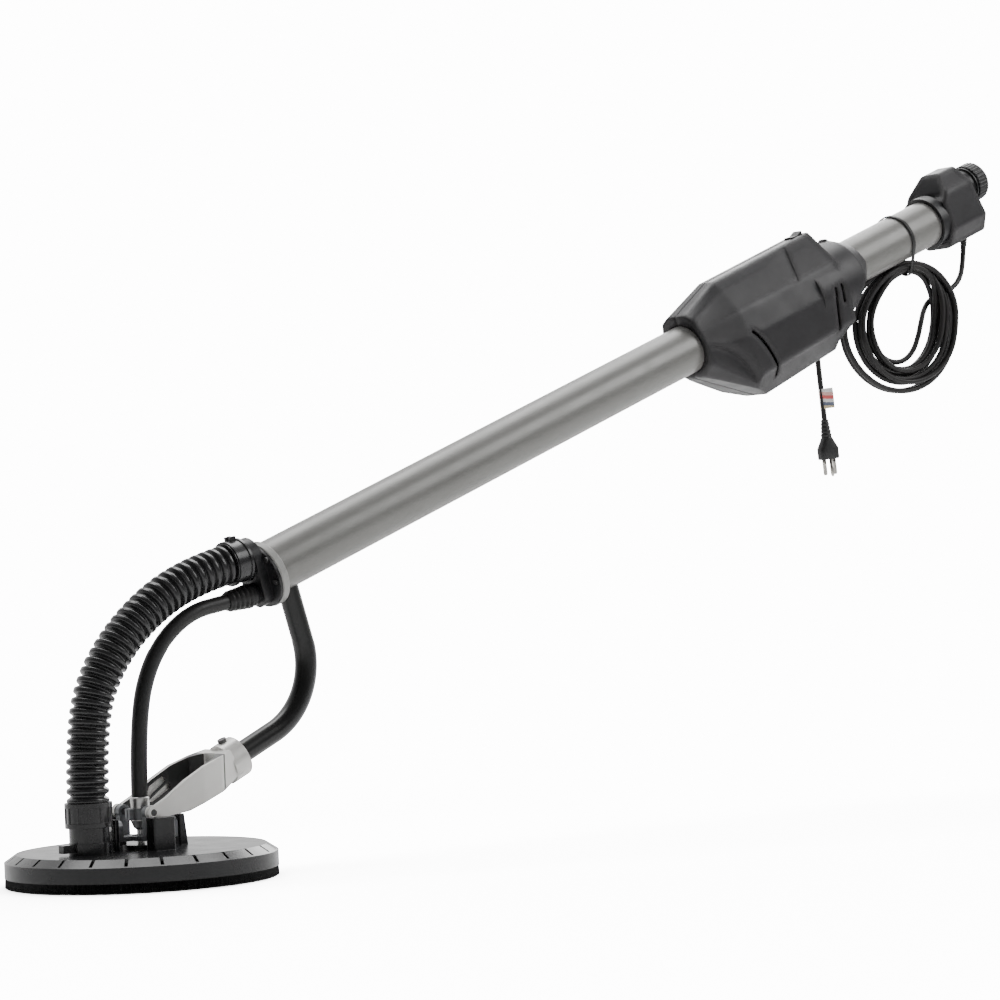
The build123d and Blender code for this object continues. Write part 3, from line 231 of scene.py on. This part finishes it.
def cast_metal(name):
    """Silver casting with painted shade: dark up to CHEEK_END where it is less than CHEEK_INNER from the
    middle plane, on the inner faces between the cheeks.
    """
    made = grained(name, (0.84, 0.83, 0.80), 0.34, 0.3, grain=700.0, depth=0.3, vary=0.06, edge=0.9)
    tree = made.node_tree
    surface = tree.nodes["Principled BSDF"]
    where = tree.nodes.new("ShaderNodeTexCoord")
    split = tree.nodes.new("ShaderNodeSeparateXYZ")
    tree.links.new(where.outputs["Object"], split.inputs["Vector"])
    out = tree.nodes.new("ShaderNodeMath")
    out.operation = "ABSOLUTE"
    tree.links.new(split.outputs["Y"], out.inputs[0])
    inside = tree.nodes.new("ShaderNodeMath")
    inside.operation = "LESS_THAN"
    inside.inputs[1].default_value = CHEEK_INNER
    tree.links.new(out.outputs[0], inside.inputs[0])
    before = tree.nodes.new("ShaderNodeMath")
    before.operation = "LESS_THAN"
    before.inputs[1].default_value = CHEEK_END
    tree.links.new(split.outputs["X"], before.inputs[0])
    painted_shade_mask = tree.nodes.new("ShaderNodeMath")
    painted_shade_mask.operation = "MULTIPLY"
    tree.links.new(inside.outputs[0], painted_shade_mask.inputs[0])
    tree.links.new(before.outputs[0], painted_shade_mask.inputs[1])
    # painted shade: the dark colour replaces the silver on the inner cheek faces
    blend = tree.nodes.new("ShaderNodeMix")
    blend.data_type = "RGBA"
    silver = surface.inputs["Base Color"].links[0].from_socket
    tree.links.new(painted_shade_mask.outputs[0], blend.inputs["Factor"])
    tree.links.new(silver, blend.inputs["A"])
    blend.inputs["B"].default_value = PAINTED_CHEEK_SHADE
    tree.links.new(blend.outputs["Result"], surface.inputs["Base Color"])
    return made


slots = {
    "tube": grained("tube_coat", (0.225, 0.222, 0.212), 0.34, 0.2, grain=1400.0, depth=0.08, vary=0.03),
    "arm": glossy("arm_coat", (0.006, 0.006, 0.006), 0.3, 0.1),
    "housing": grained(
        "housing_plastic", (0.017, 0.016, 0.018), 0.42, grain=2600.0, depth=0.2, vary=0.06, edge=9.0,
    ),
    "black_plastic": grained("black_plastic", (0.009, 0.009, 0.010), 0.38, grain=1800.0, edge=0.4),
    "shroud": grained(
        "shroud_plastic", (0.010, 0.010, 0.011), 0.25, grain=1500.0, depth=0.16, vary=0.2, edge=0.5,
    ),
    "gloss_black": glossy("hose_plastic", (0.017, 0.017, 0.018), 0.27, 0.3),
    "rubber": grained("black_rubber", (0.017, 0.017, 0.017), 0.42, grain=1200.0, edge=0.3),
    "cord": grained("cord_jacket", (0.013, 0.012, 0.012), 0.50, grain=1600.0, depth=0.12, edge=0.0),
    "light_grey": grained(
        "flange_plastic", (0.38, 0.38, 0.365), 0.42, grain=1500.0, depth=0.12, vary=0.05, edge=0.6,
    ),
    "gimbal": grained("gimbal_coat", (0.24, 0.25, 0.26), 0.42, 0.5, grain=1500.0, vary=0.08, edge=0.5),
    "cast": cast_metal("cast_silver"),
    "steel": grained("turned_steel", (0.55, 0.55, 0.54), 0.28, 0.95, grain=1200.0, vary=0.08, edge=0.3),
    "dark_steel": grained("blackened_steel", (0.10, 0.10, 0.10), 0.4, 0.8, grain=1200.0, edge=0.3),
    "brass": grained("plated_blade", (0.62, 0.60, 0.55), 0.3, 0.95, grain=900.0, vary=0.05, edge=0.2),
    "copper": grained("copper_bars", (0.6, 0.32, 0.18), 0.35, 0.95, grain=800.0),
    "foam": grained("pad_foam", (0.10, 0.10, 0.11), 0.9, grain=500.0, depth=0.8, edge=0.0),
    "abrasive": grained(
        "abrasive_grit", (0.30, 0.16, 0.10), 0.85, grain=2600.0, depth=0.9, vary=0.2, edge=0.0,
    ),
    "bristle": grained("bristles", (0.008, 0.008, 0.008), 0.45, grain=900.0, edge=0.0),
    "inner_plastic": grained("inner_plastic", (0.14, 0.14, 0.15), 0.5, grain=1200.0),
    "tag": banded("tag_bands", TAG_BANDS, "Z", TAG_LOW, TAG_HIGH, 0.45),
}

for part in frame["record"]["subparts"]:
    finishes = nodes[part["node"]].data.materials
    if not finishes:
        finishes.append(None)
    for place in range(len(finishes)):
        finishes[place] = slots[part["material_slot"]]


# ---------------------------------------------------------------- mesh helpers
def mesh_piece(name, verts, faces, slot_name, smooth=True):
    """New mesh object with a slot's material."""
    data = bpy.data.meshes.new(name)
    data.from_pydata(verts, [], faces)
    data.validate()
    data.update()
    data.polygons.foreach_set("use_smooth", [smooth] * len(data.polygons))
    data.materials.append(slots[slot_name])
    obj = link(bpy.data.objects.new(name, data))
    return obj


def nurbs(name, points, resolution):
    """Curve with one open smooth spline whose control points are given."""
    data = bpy.data.curves.new(name, "CURVE")
    data.dimensions = "3D"
    data.resolution_u = resolution
    spline = data.splines.new("NURBS")
    spline.points.add(len(points) - 1)
    for place, point in zip(spline.points, points):
        place.co = (*point, 1)
    spline.order_u = 3
    spline.use_endpoint_u = True
    return link(bpy.data.objects.new(name, data))


def line_of(points, resolution):
    """Points along the smooth spline of a route, in order."""
    guide = nurbs("guide", points, resolution)
    data = bpy.data.meshes.new_from_object(guide)
    line = [v.co.copy() for v in data.vertices]
    bpy.data.objects.remove(guide)
    bpy.data.meshes.remove(data)
    return line


def lengths_of(line):
    """Distance along a line at each of its points."""
    run = [0.0]
    for a, b in zip(line, line[1:]):
        run.append(run[-1] + (b - a).length)
    return run


def ring_faces(rows, sides):
    """Faces between rows of points, each row a closed ring."""
    faces = []
    for k in range(rows - 1):
        for j in range(sides):
            after = (j + 1) % sides
            faces.append((k * sides + j, k * sides + after, (k + 1) * sides + after, (k + 1) * sides + j))
    return faces


def tube(name, line, outer, slot_name, sides):
    """Tube along a line, open at its ends; outer(s) is its radius at a distance s."""
    run = lengths_of(line)
    side = (line[1] - line[0]).orthogonal().normalized()
    verts = []
    for k, here in enumerate(line):
        ahead = (line[min(k + 1, len(line) - 1)] - line[max(k - 1, 0)]).normalized()
        side = (side - ahead * side.dot(ahead)).normalized()
        other = ahead.cross(side)
        for j in range(sides):
            turn = 2 * pi * j / sides
            verts.append(here + (side * cos(turn) + other * sin(turn)) * outer(run[k]))
    return mesh_piece(name, verts, ring_faces(len(line), sides), slot_name)


def turned(name, origin, axis, profile, slot_name, sides=64, wave=None):
    """Body of revolution from (distance along, radius) pairs; wave(turn, k) scales the radius."""
    ahead = axis.normalized()
    side = ahead.orthogonal().normalized()
    other = ahead.cross(side)
    verts = []
    for k, (along, radius) in enumerate(profile):
        for j in range(sides):
            turn = 2 * pi * j / sides
            r = radius * (wave(turn, k) if wave else 1)
            verts.append(origin + ahead * along + (side * cos(turn) + other * sin(turn)) * r)
    return mesh_piece(name, verts, ring_faces(len(profile), sides), slot_name)


def closed_profile(pairs):
    """Profile that comes back to its first pair, in metres from mm."""
    return [(a * MM, r * MM) for a, r in pairs] + [(pairs[0][0] * MM, pairs[0][1] * MM)]


# ---------------------------------------------------------------- mains cord: lead, coil and tail in one
# the route's lead and tail are in metres in the frame, or in mm in the coil's own plane
lead_points = [
    Vector((1.12931, 0, 0.60339)),
    Vector((1.12703, 0, 0.58452)),
    Vector((1.114, -0.006, 0.5665)),
    Vector((1.098, -0.008, 0.5555)),
]
tail_points = [
    coil_point(-50.5, 12, -10.0),
    coil_point(-59.7, 23.8, -9.5),
    coil_point(-73.4, 29.9, -8.5),
    coil_point(-88.4, 28.9, -7.0),
    coil_point(-100, 21.1, -6.5),
    coil_point(-106.4, 8.6, -4.5),
    Vector((0.915, 0.0275, 0.484)),
    Vector((0.9155, 0.025, 0.452)),
    Vector((0.9195, 0.025, 0.411)),
]
# each turn: its place from window (0) to outline (1) at the right and at the left, and its depth in mm
TURNS = [
    (0.02, 0.05, -2.0),
    (0.42, 0.22, -7.5),
    (0.66, 0.50, 6.5),
    (0.83, 0.34, -1.0),
    (0.95, 0.88, -7.5),
    (0.50, 0.12, 7.5),
    (0.74, 0.60, 0.0),
    (0.58, 0.28, -4.5),
    (0.92, 0.96, 4.0),
    (0.88, 0.44, 9.0),
    (0.36, 0.17, 2.5),
    (0.70, 0.25, -9.0),
]
TURN_POINTS = 16
COIL_START = radians(-2)
COIL_SWEEP = radians(11 * 360 + 158)
# the bundle in mm, across and up: its window's half size and centre, and what the outline adds to each
WINDOW_HALF = (32.5, 46.5)
OUTLINE_ADDS = (41.5, 27.5)
WINDOW_CENTRE = (-6.8, 16.5)
OUTLINE_SHIFT = (3.5, -8.5)
COIL_LEAN = 0.24
LEAN_FROM = 8
# part of a turn after which it moves to the place of the next, and the part that this takes
CHANGE_FROM = 0.62
CHANGE_TAKES = 0.34
# where the strap gathers the turns, how far out, how sharply and how much of their depth it takes
GATHER_TURN = radians(76)
GATHER_OUT = 0.45
GATHER_POWER = 6
GATHER_DEPTH = 0.25
LIFT = 2.2


def coil_turn(swept):
    """Point of the coil after an angle swept clockwise from its start."""
    at = swept / (2 * pi)
    number = min(floor(at), len(TURNS) - 1)
    change = min(1.0, max(0.0, (at - number - CHANGE_FROM) / CHANGE_TAKES))
    change = change * change * (3 - 2 * change)
    here = TURNS[number]
    after = TURNS[min(number + 1, len(TURNS) - 1)]
    right, left, depth = [a + (b - a) * change for a, b in zip(here, after)]
    turn = COIL_START - swept
    gather = max(0.0, cos(turn - GATHER_TURN)) ** GATHER_POWER
    right = right + GATHER_OUT * (1 - right) * gather
    left = left + GATHER_OUT * (1 - left) * gather
    depth = depth * (1 - GATHER_DEPTH * gather)
    place = (right + left) / 2 + (right - left) / 2 * cos(turn)
    across, high = [half + adds * place for half, adds in zip(WINDOW_HALF, OUTLINE_ADDS)]
    middle, height = [centre + shift * place for centre, shift in zip(WINDOW_CENTRE, OUTLINE_SHIFT)]
    lift = LIFT * sin(3 * turn + 1.7 * number) * (1 - abs(sin(turn)))
    up = height + high * sin(turn)
    lean = COIL_LEAN * max(0.0, up - LEAN_FROM)
    return coil_point(middle + across * cos(turn) + lean, up, depth + lift)


entry_points = [coil_point(60, 45, -12.0), coil_point(46, 39, -12.5), coil_point(35, 27.5, -7.0)]
turn_count = int(TURN_POINTS * COIL_SWEEP / (2 * pi))
turn_points = [coil_turn(COIL_SWEEP * k / turn_count) for k in range(turn_count + 1)]
cord_points = lead_points + entry_points + turn_points + tail_points
cord = nurbs("mains_cord", cord_points, resolution=10)
cord.data.bevel_depth = CORD_D / 2
cord.data.bevel_resolution = 4
cord.data.use_fill_caps = True
cord.data.materials.append(slots["cord"])
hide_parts("power_cord_lead", "power_cord_coil", "power_cord_tail")
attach(cord, "pole")

# ---------------------------------------------------------------- plug, tag, strap and strain relief
PLUG_START = tail_points[-1]
PLUG_RUN = (tail_points[-1] - tail_points[-2]).normalized()
PLUG_TURN = radians(-12)
plug_facing = Vector((cos(PLUG_TURN), sin(PLUG_TURN), 0))
PLUG_WIDE = (plug_facing - PLUG_RUN * plug_facing.dot(PLUG_RUN)).normalized()
PLUG_THICK = PLUG_RUN.cross(PLUG_WIDE)
SECTION_SIDES = 36
RIB_STEPS = 4
RIB_GROOVE = 0.55


def rounded_section(half_wide, half_thick, power):
    """Outline of a section, as (wide, thick) pairs in mm: round at power 2, squarer above it."""
    pairs = []
    for k in range(SECTION_SIDES):
        turn = 2 * pi * k / SECTION_SIDES
        c, s = cos(turn), sin(turn)
        wide = half_wide * abs(c) ** (2 / power) * (1 if c >= 0 else -1)
        thick = half_thick * abs(s) ** (2 / power) * (1 if s >= 0 else -1)
        pairs.append((wide, thick))
    return pairs


def lofted(name, origin, run, wide, thick, stages, slot_name):
    """Body through rounded sections: each stage is (along, half width, half thickness, power) in mm."""
    verts = []
    for along, half_wide, half_thick, power in stages:
        for w, t in rounded_section(half_wide, half_thick, power):
            verts.append(origin + (run * along + wide * w + thick * t) * MM)
    faces = ring_faces(len(stages), SECTION_SIDES)
    faces.append(tuple(reversed(range(SECTION_SIDES))))
    faces.append(tuple(range((len(stages) - 1) * SECTION_SIDES, len(stages) * SECTION_SIDES)))
    return mesh_piece(name, verts, faces, slot_name)


def ribbed_stages(start, length, first, last, ribs):
    """Stages of a tapered ribbed sleeve, round in section."""
    stages = []
    for k in range(ribs * RIB_STEPS + 1):
        part = k / (ribs * RIB_STEPS)
        radius = first + (last - first) * part
        groove = RIB_GROOVE if k % RIB_STEPS in (2, 3) else 0.0
        stages.append((start + length * part, radius - groove, radius - groove, 2.0))
    return stages


plug_stages = ribbed_stages(0, 20, 4.3, 6.4, 5)
plug_stages += [(22, 7.4, 6.2, 2.2), (26, 9.4, 6.6, 2.6), (29.5, 11.0, 6.9, 3.2), (31, 11.5, 7.0, 4.0)]
plug_stages += [(41.6, 11.5, 7.0, 4.0), (42.6, 11.0, 6.5, 4.0), (43, 10.2, 5.8, 4.0)]
plug = lofted("plug_moulding", PLUG_START, PLUG_RUN, PLUG_WIDE, PLUG_THICK, plug_stages, "rubber")
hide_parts("plug_body")
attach(plug, "pole")

BLADE_ASIDE = 6.35 * MM
PIN_ASIDE = 4.2 * MM
blade_stages = [(42, 0.75, 3.1, 8), (58.5, 0.75, 3.1, 8), (59.6, 0.75, 2.4, 6), (60, 0.6, 1.6, 4)]
pin_stages = [(42, 2.1, 2.1, 2), (58, 2.1, 2.1, 2), (60.5, 1.7, 1.7, 2), (62, 0.8, 0.8, 2)]
blades = []
for sign in (-1, 1):
    name = f"plug_blade_{sign + 2}"
    origin = PLUG_START + PLUG_WIDE * sign * BLADE_ASIDE
    blades.append(lofted(name, origin, PLUG_RUN, PLUG_WIDE, PLUG_THICK, blade_stages, "brass"))
pin_origin = PLUG_START + PLUG_THICK * PIN_ASIDE
blades.append(lofted("plug_ground_pin", pin_origin, PLUG_RUN, PLUG_WIDE, PLUG_THICK, pin_stages, "brass"))
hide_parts("plug_blades")
for blade in blades:
    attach(blade, "pole")

# tag: a strip of paper folded round the cord, with its two leaves side by side; sizes in mm
TAG_BACK = 34
TAG_LENGTH = 22
TAG_STEPS = 11
TAG_CURL = 0.9
CURL_START = 0.4
CURL_SWEEP = 2.4
CURL_FROM = 3
CURL_OVER = 10
TAG_START = PLUG_START - PLUG_RUN * TAG_BACK * MM
PAPER_THICKNESS = 0.25 * MM
TAG_PATH = [
    (14.5, 0.5),
    (4.5, 0.45),
    (3.4, 2.2),
    (0, 3.5),
    (-3.4, 0),
    (0, -3.5),
    (3.4, -2.2),
    (4.5, -0.45),
    (14.5, -0.5),
]
tag_verts = []
tag_faces = []
for row in range(TAG_STEPS + 1):
    along = TAG_LENGTH * row / TAG_STEPS
    bow = TAG_CURL * sin(CURL_SWEEP * row / TAG_STEPS + CURL_START)
    for wide, thick in TAG_PATH:
        curl = bow * max(0.0, wide - CURL_FROM) / CURL_OVER
        tag_verts.append(TAG_START + (PLUG_RUN * along + PLUG_WIDE * wide + PLUG_THICK * (thick + curl)) * MM)
for row in range(TAG_STEPS):
    for k in range(len(TAG_PATH) - 1):
        a = row * len(TAG_PATH) + k
        tag_faces.append((a, a + 1, a + 1 + len(TAG_PATH), a + len(TAG_PATH)))
tag = mesh_piece("banded_tag", tag_verts, tag_faces, "tag")
paper = tag.modifiers.new("paper", "SOLIDIFY")
paper.thickness = PAPER_THICKNESS
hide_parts("cord_tag")
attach(tag, "pole")

RELIEF_ROOT = pole_point(1056, -31)
RELIEF_RUN = Vector((-0.12, 0, -0.99)).normalized()
relief_side = ACROSS.cross(RELIEF_RUN)
sleeve_stages = [(-6, 4.2, 4.2, 2.0)] + ribbed_stages(0, 16, 4.7, 3.5, 5)
sleeve = lofted("strain_relief_sleeve", RELIEF_ROOT, RELIEF_RUN, ACROSS, relief_side, sleeve_stages, "rubber")
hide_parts("cord_strain_relief")
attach(sleeve, "pole")

# strap round the tube and the coil's top: a belt over a round form of each, sizes in mm
TIE_ALONG = 946.0
TIE_LOW = -33.0
TIE_LOW_SIDE = -2.6
TIE_LOW_R = 8.8
TIE_TOP_R = 26.4
BELT_STEPS = 72
BELT_SECTION = [(-2.6, 0.0), (-2.2, 0.9), (0, 1.15), (2.2, 0.9), (2.6, 0.0), (2.2, -0.45), (-2.2, -0.45)]
slope = (TIE_TOP_R - TIE_LOW_R) / abs(TIE_LOW)
belt_verts = []
for k in range(BELT_STEPS):
    turn = 2 * pi * k / BELT_STEPS
    outward = Vector((sin(turn), cos(turn)))
    low_end = outward.y < -slope
    radius = TIE_LOW_R if low_end else TIE_TOP_R
    centre = Vector((TIE_LOW_SIDE, TIE_LOW)) if low_end else Vector((0, 0))
    foot = centre + outward * radius
    for along, out in BELT_SECTION:
        spot = foot + outward * out
        belt_verts.append(pole_point(TIE_ALONG + along, spot.y, spot.x))
belt_faces = []
for k in range(BELT_STEPS):
    for j in range(len(BELT_SECTION)):
        a = k * len(BELT_SECTION) + j
        b = k * len(BELT_SECTION) + (j + 1) % len(BELT_SECTION)
        c = ((k + 1) % BELT_STEPS) * len(BELT_SECTION) + (j + 1) % len(BELT_SECTION)
        d = ((k + 1) % BELT_STEPS) * len(BELT_SECTION) + j
        belt_faces.append((a, b, c, d))
strap = mesh_piece("coil_strap", belt_verts, belt_faces, "rubber")
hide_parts("cord_tie")
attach(strap, "pole")

# ---------------------------------------------------------------- dust hose
HOSE_PITCH = 8.5 * MM
HOSE_CREST = 18.6 * MM
HOSE_VALLEY = 15.2 * MM
HOSE_SIDES = 56
# foot of a rib and width of its flank, in half pitches from the middle of its crest
RIB_FOOT = 0.9
RIB_FLANK = 0.62
# where the two parts meet, and where the bend of each begins and ends
HOSE_SPLIT = Vector((-0.0535, 0, 0.124))
hose_route = [
    Vector((0.103455, 0, 0.277557)),
    Vector((0.066459, 0, 0.268880)),
    Vector((0.016, 0, 0.243)),
    Vector((-0.030, 0, 0.199)),
    Vector((-0.054, 0, 0.143)),
    Vector((-0.054, 0, 0.073)),
]


def ribbed(s):
    """Radius of the corrugated hose at a distance along it: round crests and narrow valleys."""
    part = abs((s / HOSE_PITCH) % 1.0 - 0.5) * 2
    rise = min(1.0, max(0.0, (RIB_FOOT - part) / RIB_FLANK))
    return HOSE_VALLEY + (HOSE_CREST - HOSE_VALLEY) * rise * rise * (3 - 2 * rise)


def nearest(line, point):
    """Index of the point of a line that is nearest to a place."""
    return min(range(len(line)), key=lambda k: (line[k] - point).length)


def two_parts(name, line, split, outer, slot_name, replaced, sides):
    """Flexible tube from pole to head, as two tubes that meet on the gimbal."""
    cut = nearest(line, split)
    start = lengths_of(line)[cut]
    ends_on_pole = tube(f"{name}_upper", line[: cut + 1], outer, slot_name, sides)
    ends_on_head = tube(f"{name}_lower", line[cut:], lambda s: outer(s + start), slot_name, sides)
    for piece in (ends_on_pole, ends_on_head):
        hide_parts(replaced)
    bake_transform(ends_on_pole)
    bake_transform(ends_on_head)


two_parts(
    "dust_hose", line_of(hose_route, 90), HOSE_SPLIT, ribbed, "gloss_black", "corrugated_hose",
    HOSE_SIDES,
)

# ---------------------------------------------------------------- flexible drive shaft: casing and wound core
CASING_R = 7.2 * MM
CASING_SIDES = 32
CORE_R = 2.1 * MM
CORE_WAVE = 0.1 * MM
CORE_PITCH = 4 * MM
CORE_SIDES = 12
SHAFT_SPLIT = Vector((0, 0, 0.105))
casing_route = [
    Vector((0.136473, 0, 0.250102)),
    Vector((0.104049, 0, 0.243964)),
    Vector((0.058, 0, 0.2355)),
    Vector((0.018, 0, 0.199)),
    Vector((0, 0, 0.140)),
    Vector((0, 0, 0.064)),
]
core_route = [Vector((0.74916, 0, 0.48716)), Vector((0.139421, 0, 0.250660))]
core_route += casing_route[1:-1] + [Vector((0, 0, 0.022))]


def wound(s):
    """Radius of the wound core at a distance along it."""
    return CORE_R + CORE_WAVE * sin(s * 2 * pi / CORE_PITCH)


two_parts(
    "shaft_sleeve", line_of(casing_route, 40), SHAFT_SPLIT, lambda s: CASING_R, "rubber", "shaft_casing",
    CASING_SIDES,
)
two_parts(
    "wound_core", line_of(core_route, 60), SHAFT_SPLIT, wound, "steel", "flex_core",
    CORE_SIDES,
)

# ---------------------------------------------------------------- ribbed boot over the shaft's upper end
BOOT_ROOT = pole_point(-2, -16)
BOOT_TIP = pole_point(-42, -8.6)
BOOT_RIBS = 5
BOOT_PITCH = 5.0
BOOT_CREST = 11.6
BOOT_TAPER = 0.45
BOOT_GROOVE = 1.9
boot_profile = [(6.6, 9.5), (6.6, 10.6), (11.4, 10.7)]
for k in range(BOOT_RIBS):
    start = 12.0 + BOOT_PITCH * k
    crest = BOOT_CREST - BOOT_TAPER * k
    valley = crest - BOOT_GROOVE
    boot_profile += [(start, valley), (start + 0.9, crest), (start + 2.9, crest), (start + 3.8, valley)]
boot_profile += [(37.5, 8.6), (38.0, 8.0), (38.0, 7.3), (12.0, 7.3), (11.0, 9.5)]
boot = turned("ribbed_boot", BOOT_ROOT, BOOT_TIP - BOOT_ROOT, closed_profile(boot_profile), "rubber")
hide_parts("shaft_boot")
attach(boot, "pole")

# ---------------------------------------------------------------- knurled ring of the hose outlet
RING_START = pole_point(1081, 18)
KNURLS = 30
KNURL_DEPTH = 0.035
KNURLED_PAIRS = range(2, 6)


def knurl(turn, k):
    """Ridges on the outer face of the ring only, as a share of its radius."""
    if k in KNURLED_PAIRS:
        return 1 - KNURL_DEPTH * (0.5 + 0.5 * cos(KNURLS * turn)) ** 3
    return 1


ring_profile = closed_profile([
    (0.2, 18.7), (0.2, 21.2), (1.0, 22.0), (1.4, 22.0),
    (14.2, 22.0), (14.8, 22.0), (15.8, 21.2), (15.8, 18.7),
])
ring = turned("knurled_ring", RING_START, POLE_RUN, ring_profile, "black_plastic", 480, knurl)
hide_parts("hose_lock_ring")
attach(ring, "lock_ring")

# ---------------------------------------------------------------- brush skirt
# sizes in mm; each tuft has three levels of (height, half width, share of its swing)
SKIRT_TOP = 9.0
SKIRT_R = 120.0
SKIRT_FLARE = 0.8
SKIRT_TUFTS = 1500
TUFT_SIDES = 3
tuft_verts = []
tuft_faces = []
for k in range(SKIRT_TUFTS):
    turn = 2 * pi * (k + random.uniform(-0.35, 0.35)) / SKIRT_TUFTS
    out = Vector((cos(turn), sin(turn), 0))
    along = Vector((-sin(turn), cos(turn), 0))
    layer = random.uniform(-0.9, 0.4)
    lean = random.uniform(-0.5, 0.5)
    tip = random.uniform(0.0, 0.2)
    base = len(tuft_verts)
    for level, width, swing in ((SKIRT_TOP, 0.42, 0.0), (4.5, 0.40, 0.5), (tip, 0.16, 1.0)):
        centre = out * (SKIRT_R + layer + SKIRT_FLARE * swing) + along * lean * swing + UP * level
        for corner in range(TUFT_SIDES):
            spin = 2 * pi * corner / TUFT_SIDES
            tuft_verts.append((centre + out * width * cos(spin) + along * width * sin(spin)) * MM)
    for level in range(2):
        for corner in range(TUFT_SIDES):
            a = base + level * TUFT_SIDES + corner
            b = base + level * TUFT_SIDES + (corner + 1) % TUFT_SIDES
            tuft_faces.append((a, b, b + TUFT_SIDES, a + TUFT_SIDES))
    tuft_faces.append((base + 8, base + 7, base + 6))
bristles = mesh_piece("brush_bristles", tuft_verts, tuft_faces, "bristle", smooth=False)
backing = turned(
    "brush_backing", Vector((0, 0, 0)), UP,
    closed_profile([(0.3, 117.6), (0.3, 119.6), (SKIRT_TOP, 119.2), (SKIRT_TOP, 116.6)]), "bristle", 180,
)
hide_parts("skirt_bristles")
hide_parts("skirt_bristles")
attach(bristles, "head")
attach(backing, "head")

# ---------------------------------------------------------------- floor and light
FLOOR_HALF = 9
FLOOR_DROP = 0.6 * MM
floor_corners = [(x * FLOOR_HALF, y * FLOOR_HALF, 0) for x, y in ((-1, -1), (1, -1), (1, 1), (-1, 1))]
floor_data = bpy.data.meshes.new("floor")
floor_data.from_pydata(floor_corners, [], [(0, 1, 2, 3)])
floor_piece = link(bpy.data.objects.new("floor", floor_data))
floor_piece.location.z = -FLOOR_DROP
floor_coat = grained("floor_coat", (0.85, 0.85, 0.85), 0.8, grain=60.0, depth=0.02, vary=0.01, edge=0.0)
floor_data.materials.append(floor_coat)
floor_piece.is_shadow_catcher = True

# the camera sees a plain white backdrop; everything else sees a grey room that is bright on one side
BRIGHT_SIDE = (0.62, 0.74, 0.26)
BACKDROP_STRENGTH = 14.0
ROOM_STRENGTH = 1.5
world = bpy.data.worlds.new("studio")
bpy.context.scene.world = world
world.use_nodes = True
sky = world.node_tree
backdrop = sky.nodes["Background"]
backdrop.inputs["Color"].default_value = (1, 1, 1, 1)
backdrop.inputs["Strength"].default_value = BACKDROP_STRENGTH
surround = sky.nodes.new("ShaderNodeBackground")
facing = sky.nodes.new("ShaderNodeTexCoord")
toward = sky.nodes.new("ShaderNodeVectorMath")
toward.operation = "DOT_PRODUCT"
toward.inputs[1].default_value = BRIGHT_SIDE
sky.links.new(facing.outputs["Generated"], toward.inputs[0])
level = sky.nodes.new("ShaderNodeMapRange")
level.inputs["From Min"].default_value = -1.0
level.inputs["From Max"].default_value = 1.0
sky.links.new(toward.outputs["Value"], level.inputs["Value"])
shade = sky.nodes.new("ShaderNodeValToRGB")
for stop, place, grey in zip(shade.color_ramp.elements, (0.45, 0.95), (0.08, 1.0)):
    stop.position = place
    stop.color = (grey, grey, grey, 1)
middle = shade.color_ramp.elements.new(0.68)
middle.color = (0.45, 0.45, 0.45, 1)
sky.links.new(level.outputs["Result"], shade.inputs["Fac"])
sky.links.new(shade.outputs["Color"], surround.inputs["Color"])
surround.inputs["Strength"].default_value = ROOM_STRENGTH
ray = sky.nodes.new("ShaderNodeLightPath")
choice = sky.nodes.new("ShaderNodeMixShader")
sky.links.new(ray.outputs["Is Camera Ray"], choice.inputs[0])
sky.links.new(surround.outputs[0], choice.inputs[1])
sky.links.new(backdrop.outputs[0], choice.inputs[2])
sky.links.new(choice.outputs[0], sky.nodes["World Output"].inputs["Surface"])


def softbox(name, place, aim, wide, high, power):
    """Rectangular studio light turned towards a point."""
    data = bpy.data.lights.new(name, "AREA")
    data.shape = "RECTANGLE"
    data.size = wide
    data.size_y = high
    data.energy = power
    lamp = link(bpy.data.objects.new(name, data))
    lamp.location = place
    lamp.rotation_euler = (Vector(aim) - Vector(place)).to_track_quat("-Z", "Y").to_euler()


softbox("key_light", (2.1, -1.9, 2.1), (0.6, 0, 0.45), 1.5, 1.5, 38)
softbox("top_light", (0.7, 0.7, 2.3), (0.55, 0, 0.4), 2.6, 1.2, 46)
softbox("rear_light", (2.3, 1.2, 1.2), (0.7, 0, 0.4), 1.2, 1.6, 30)
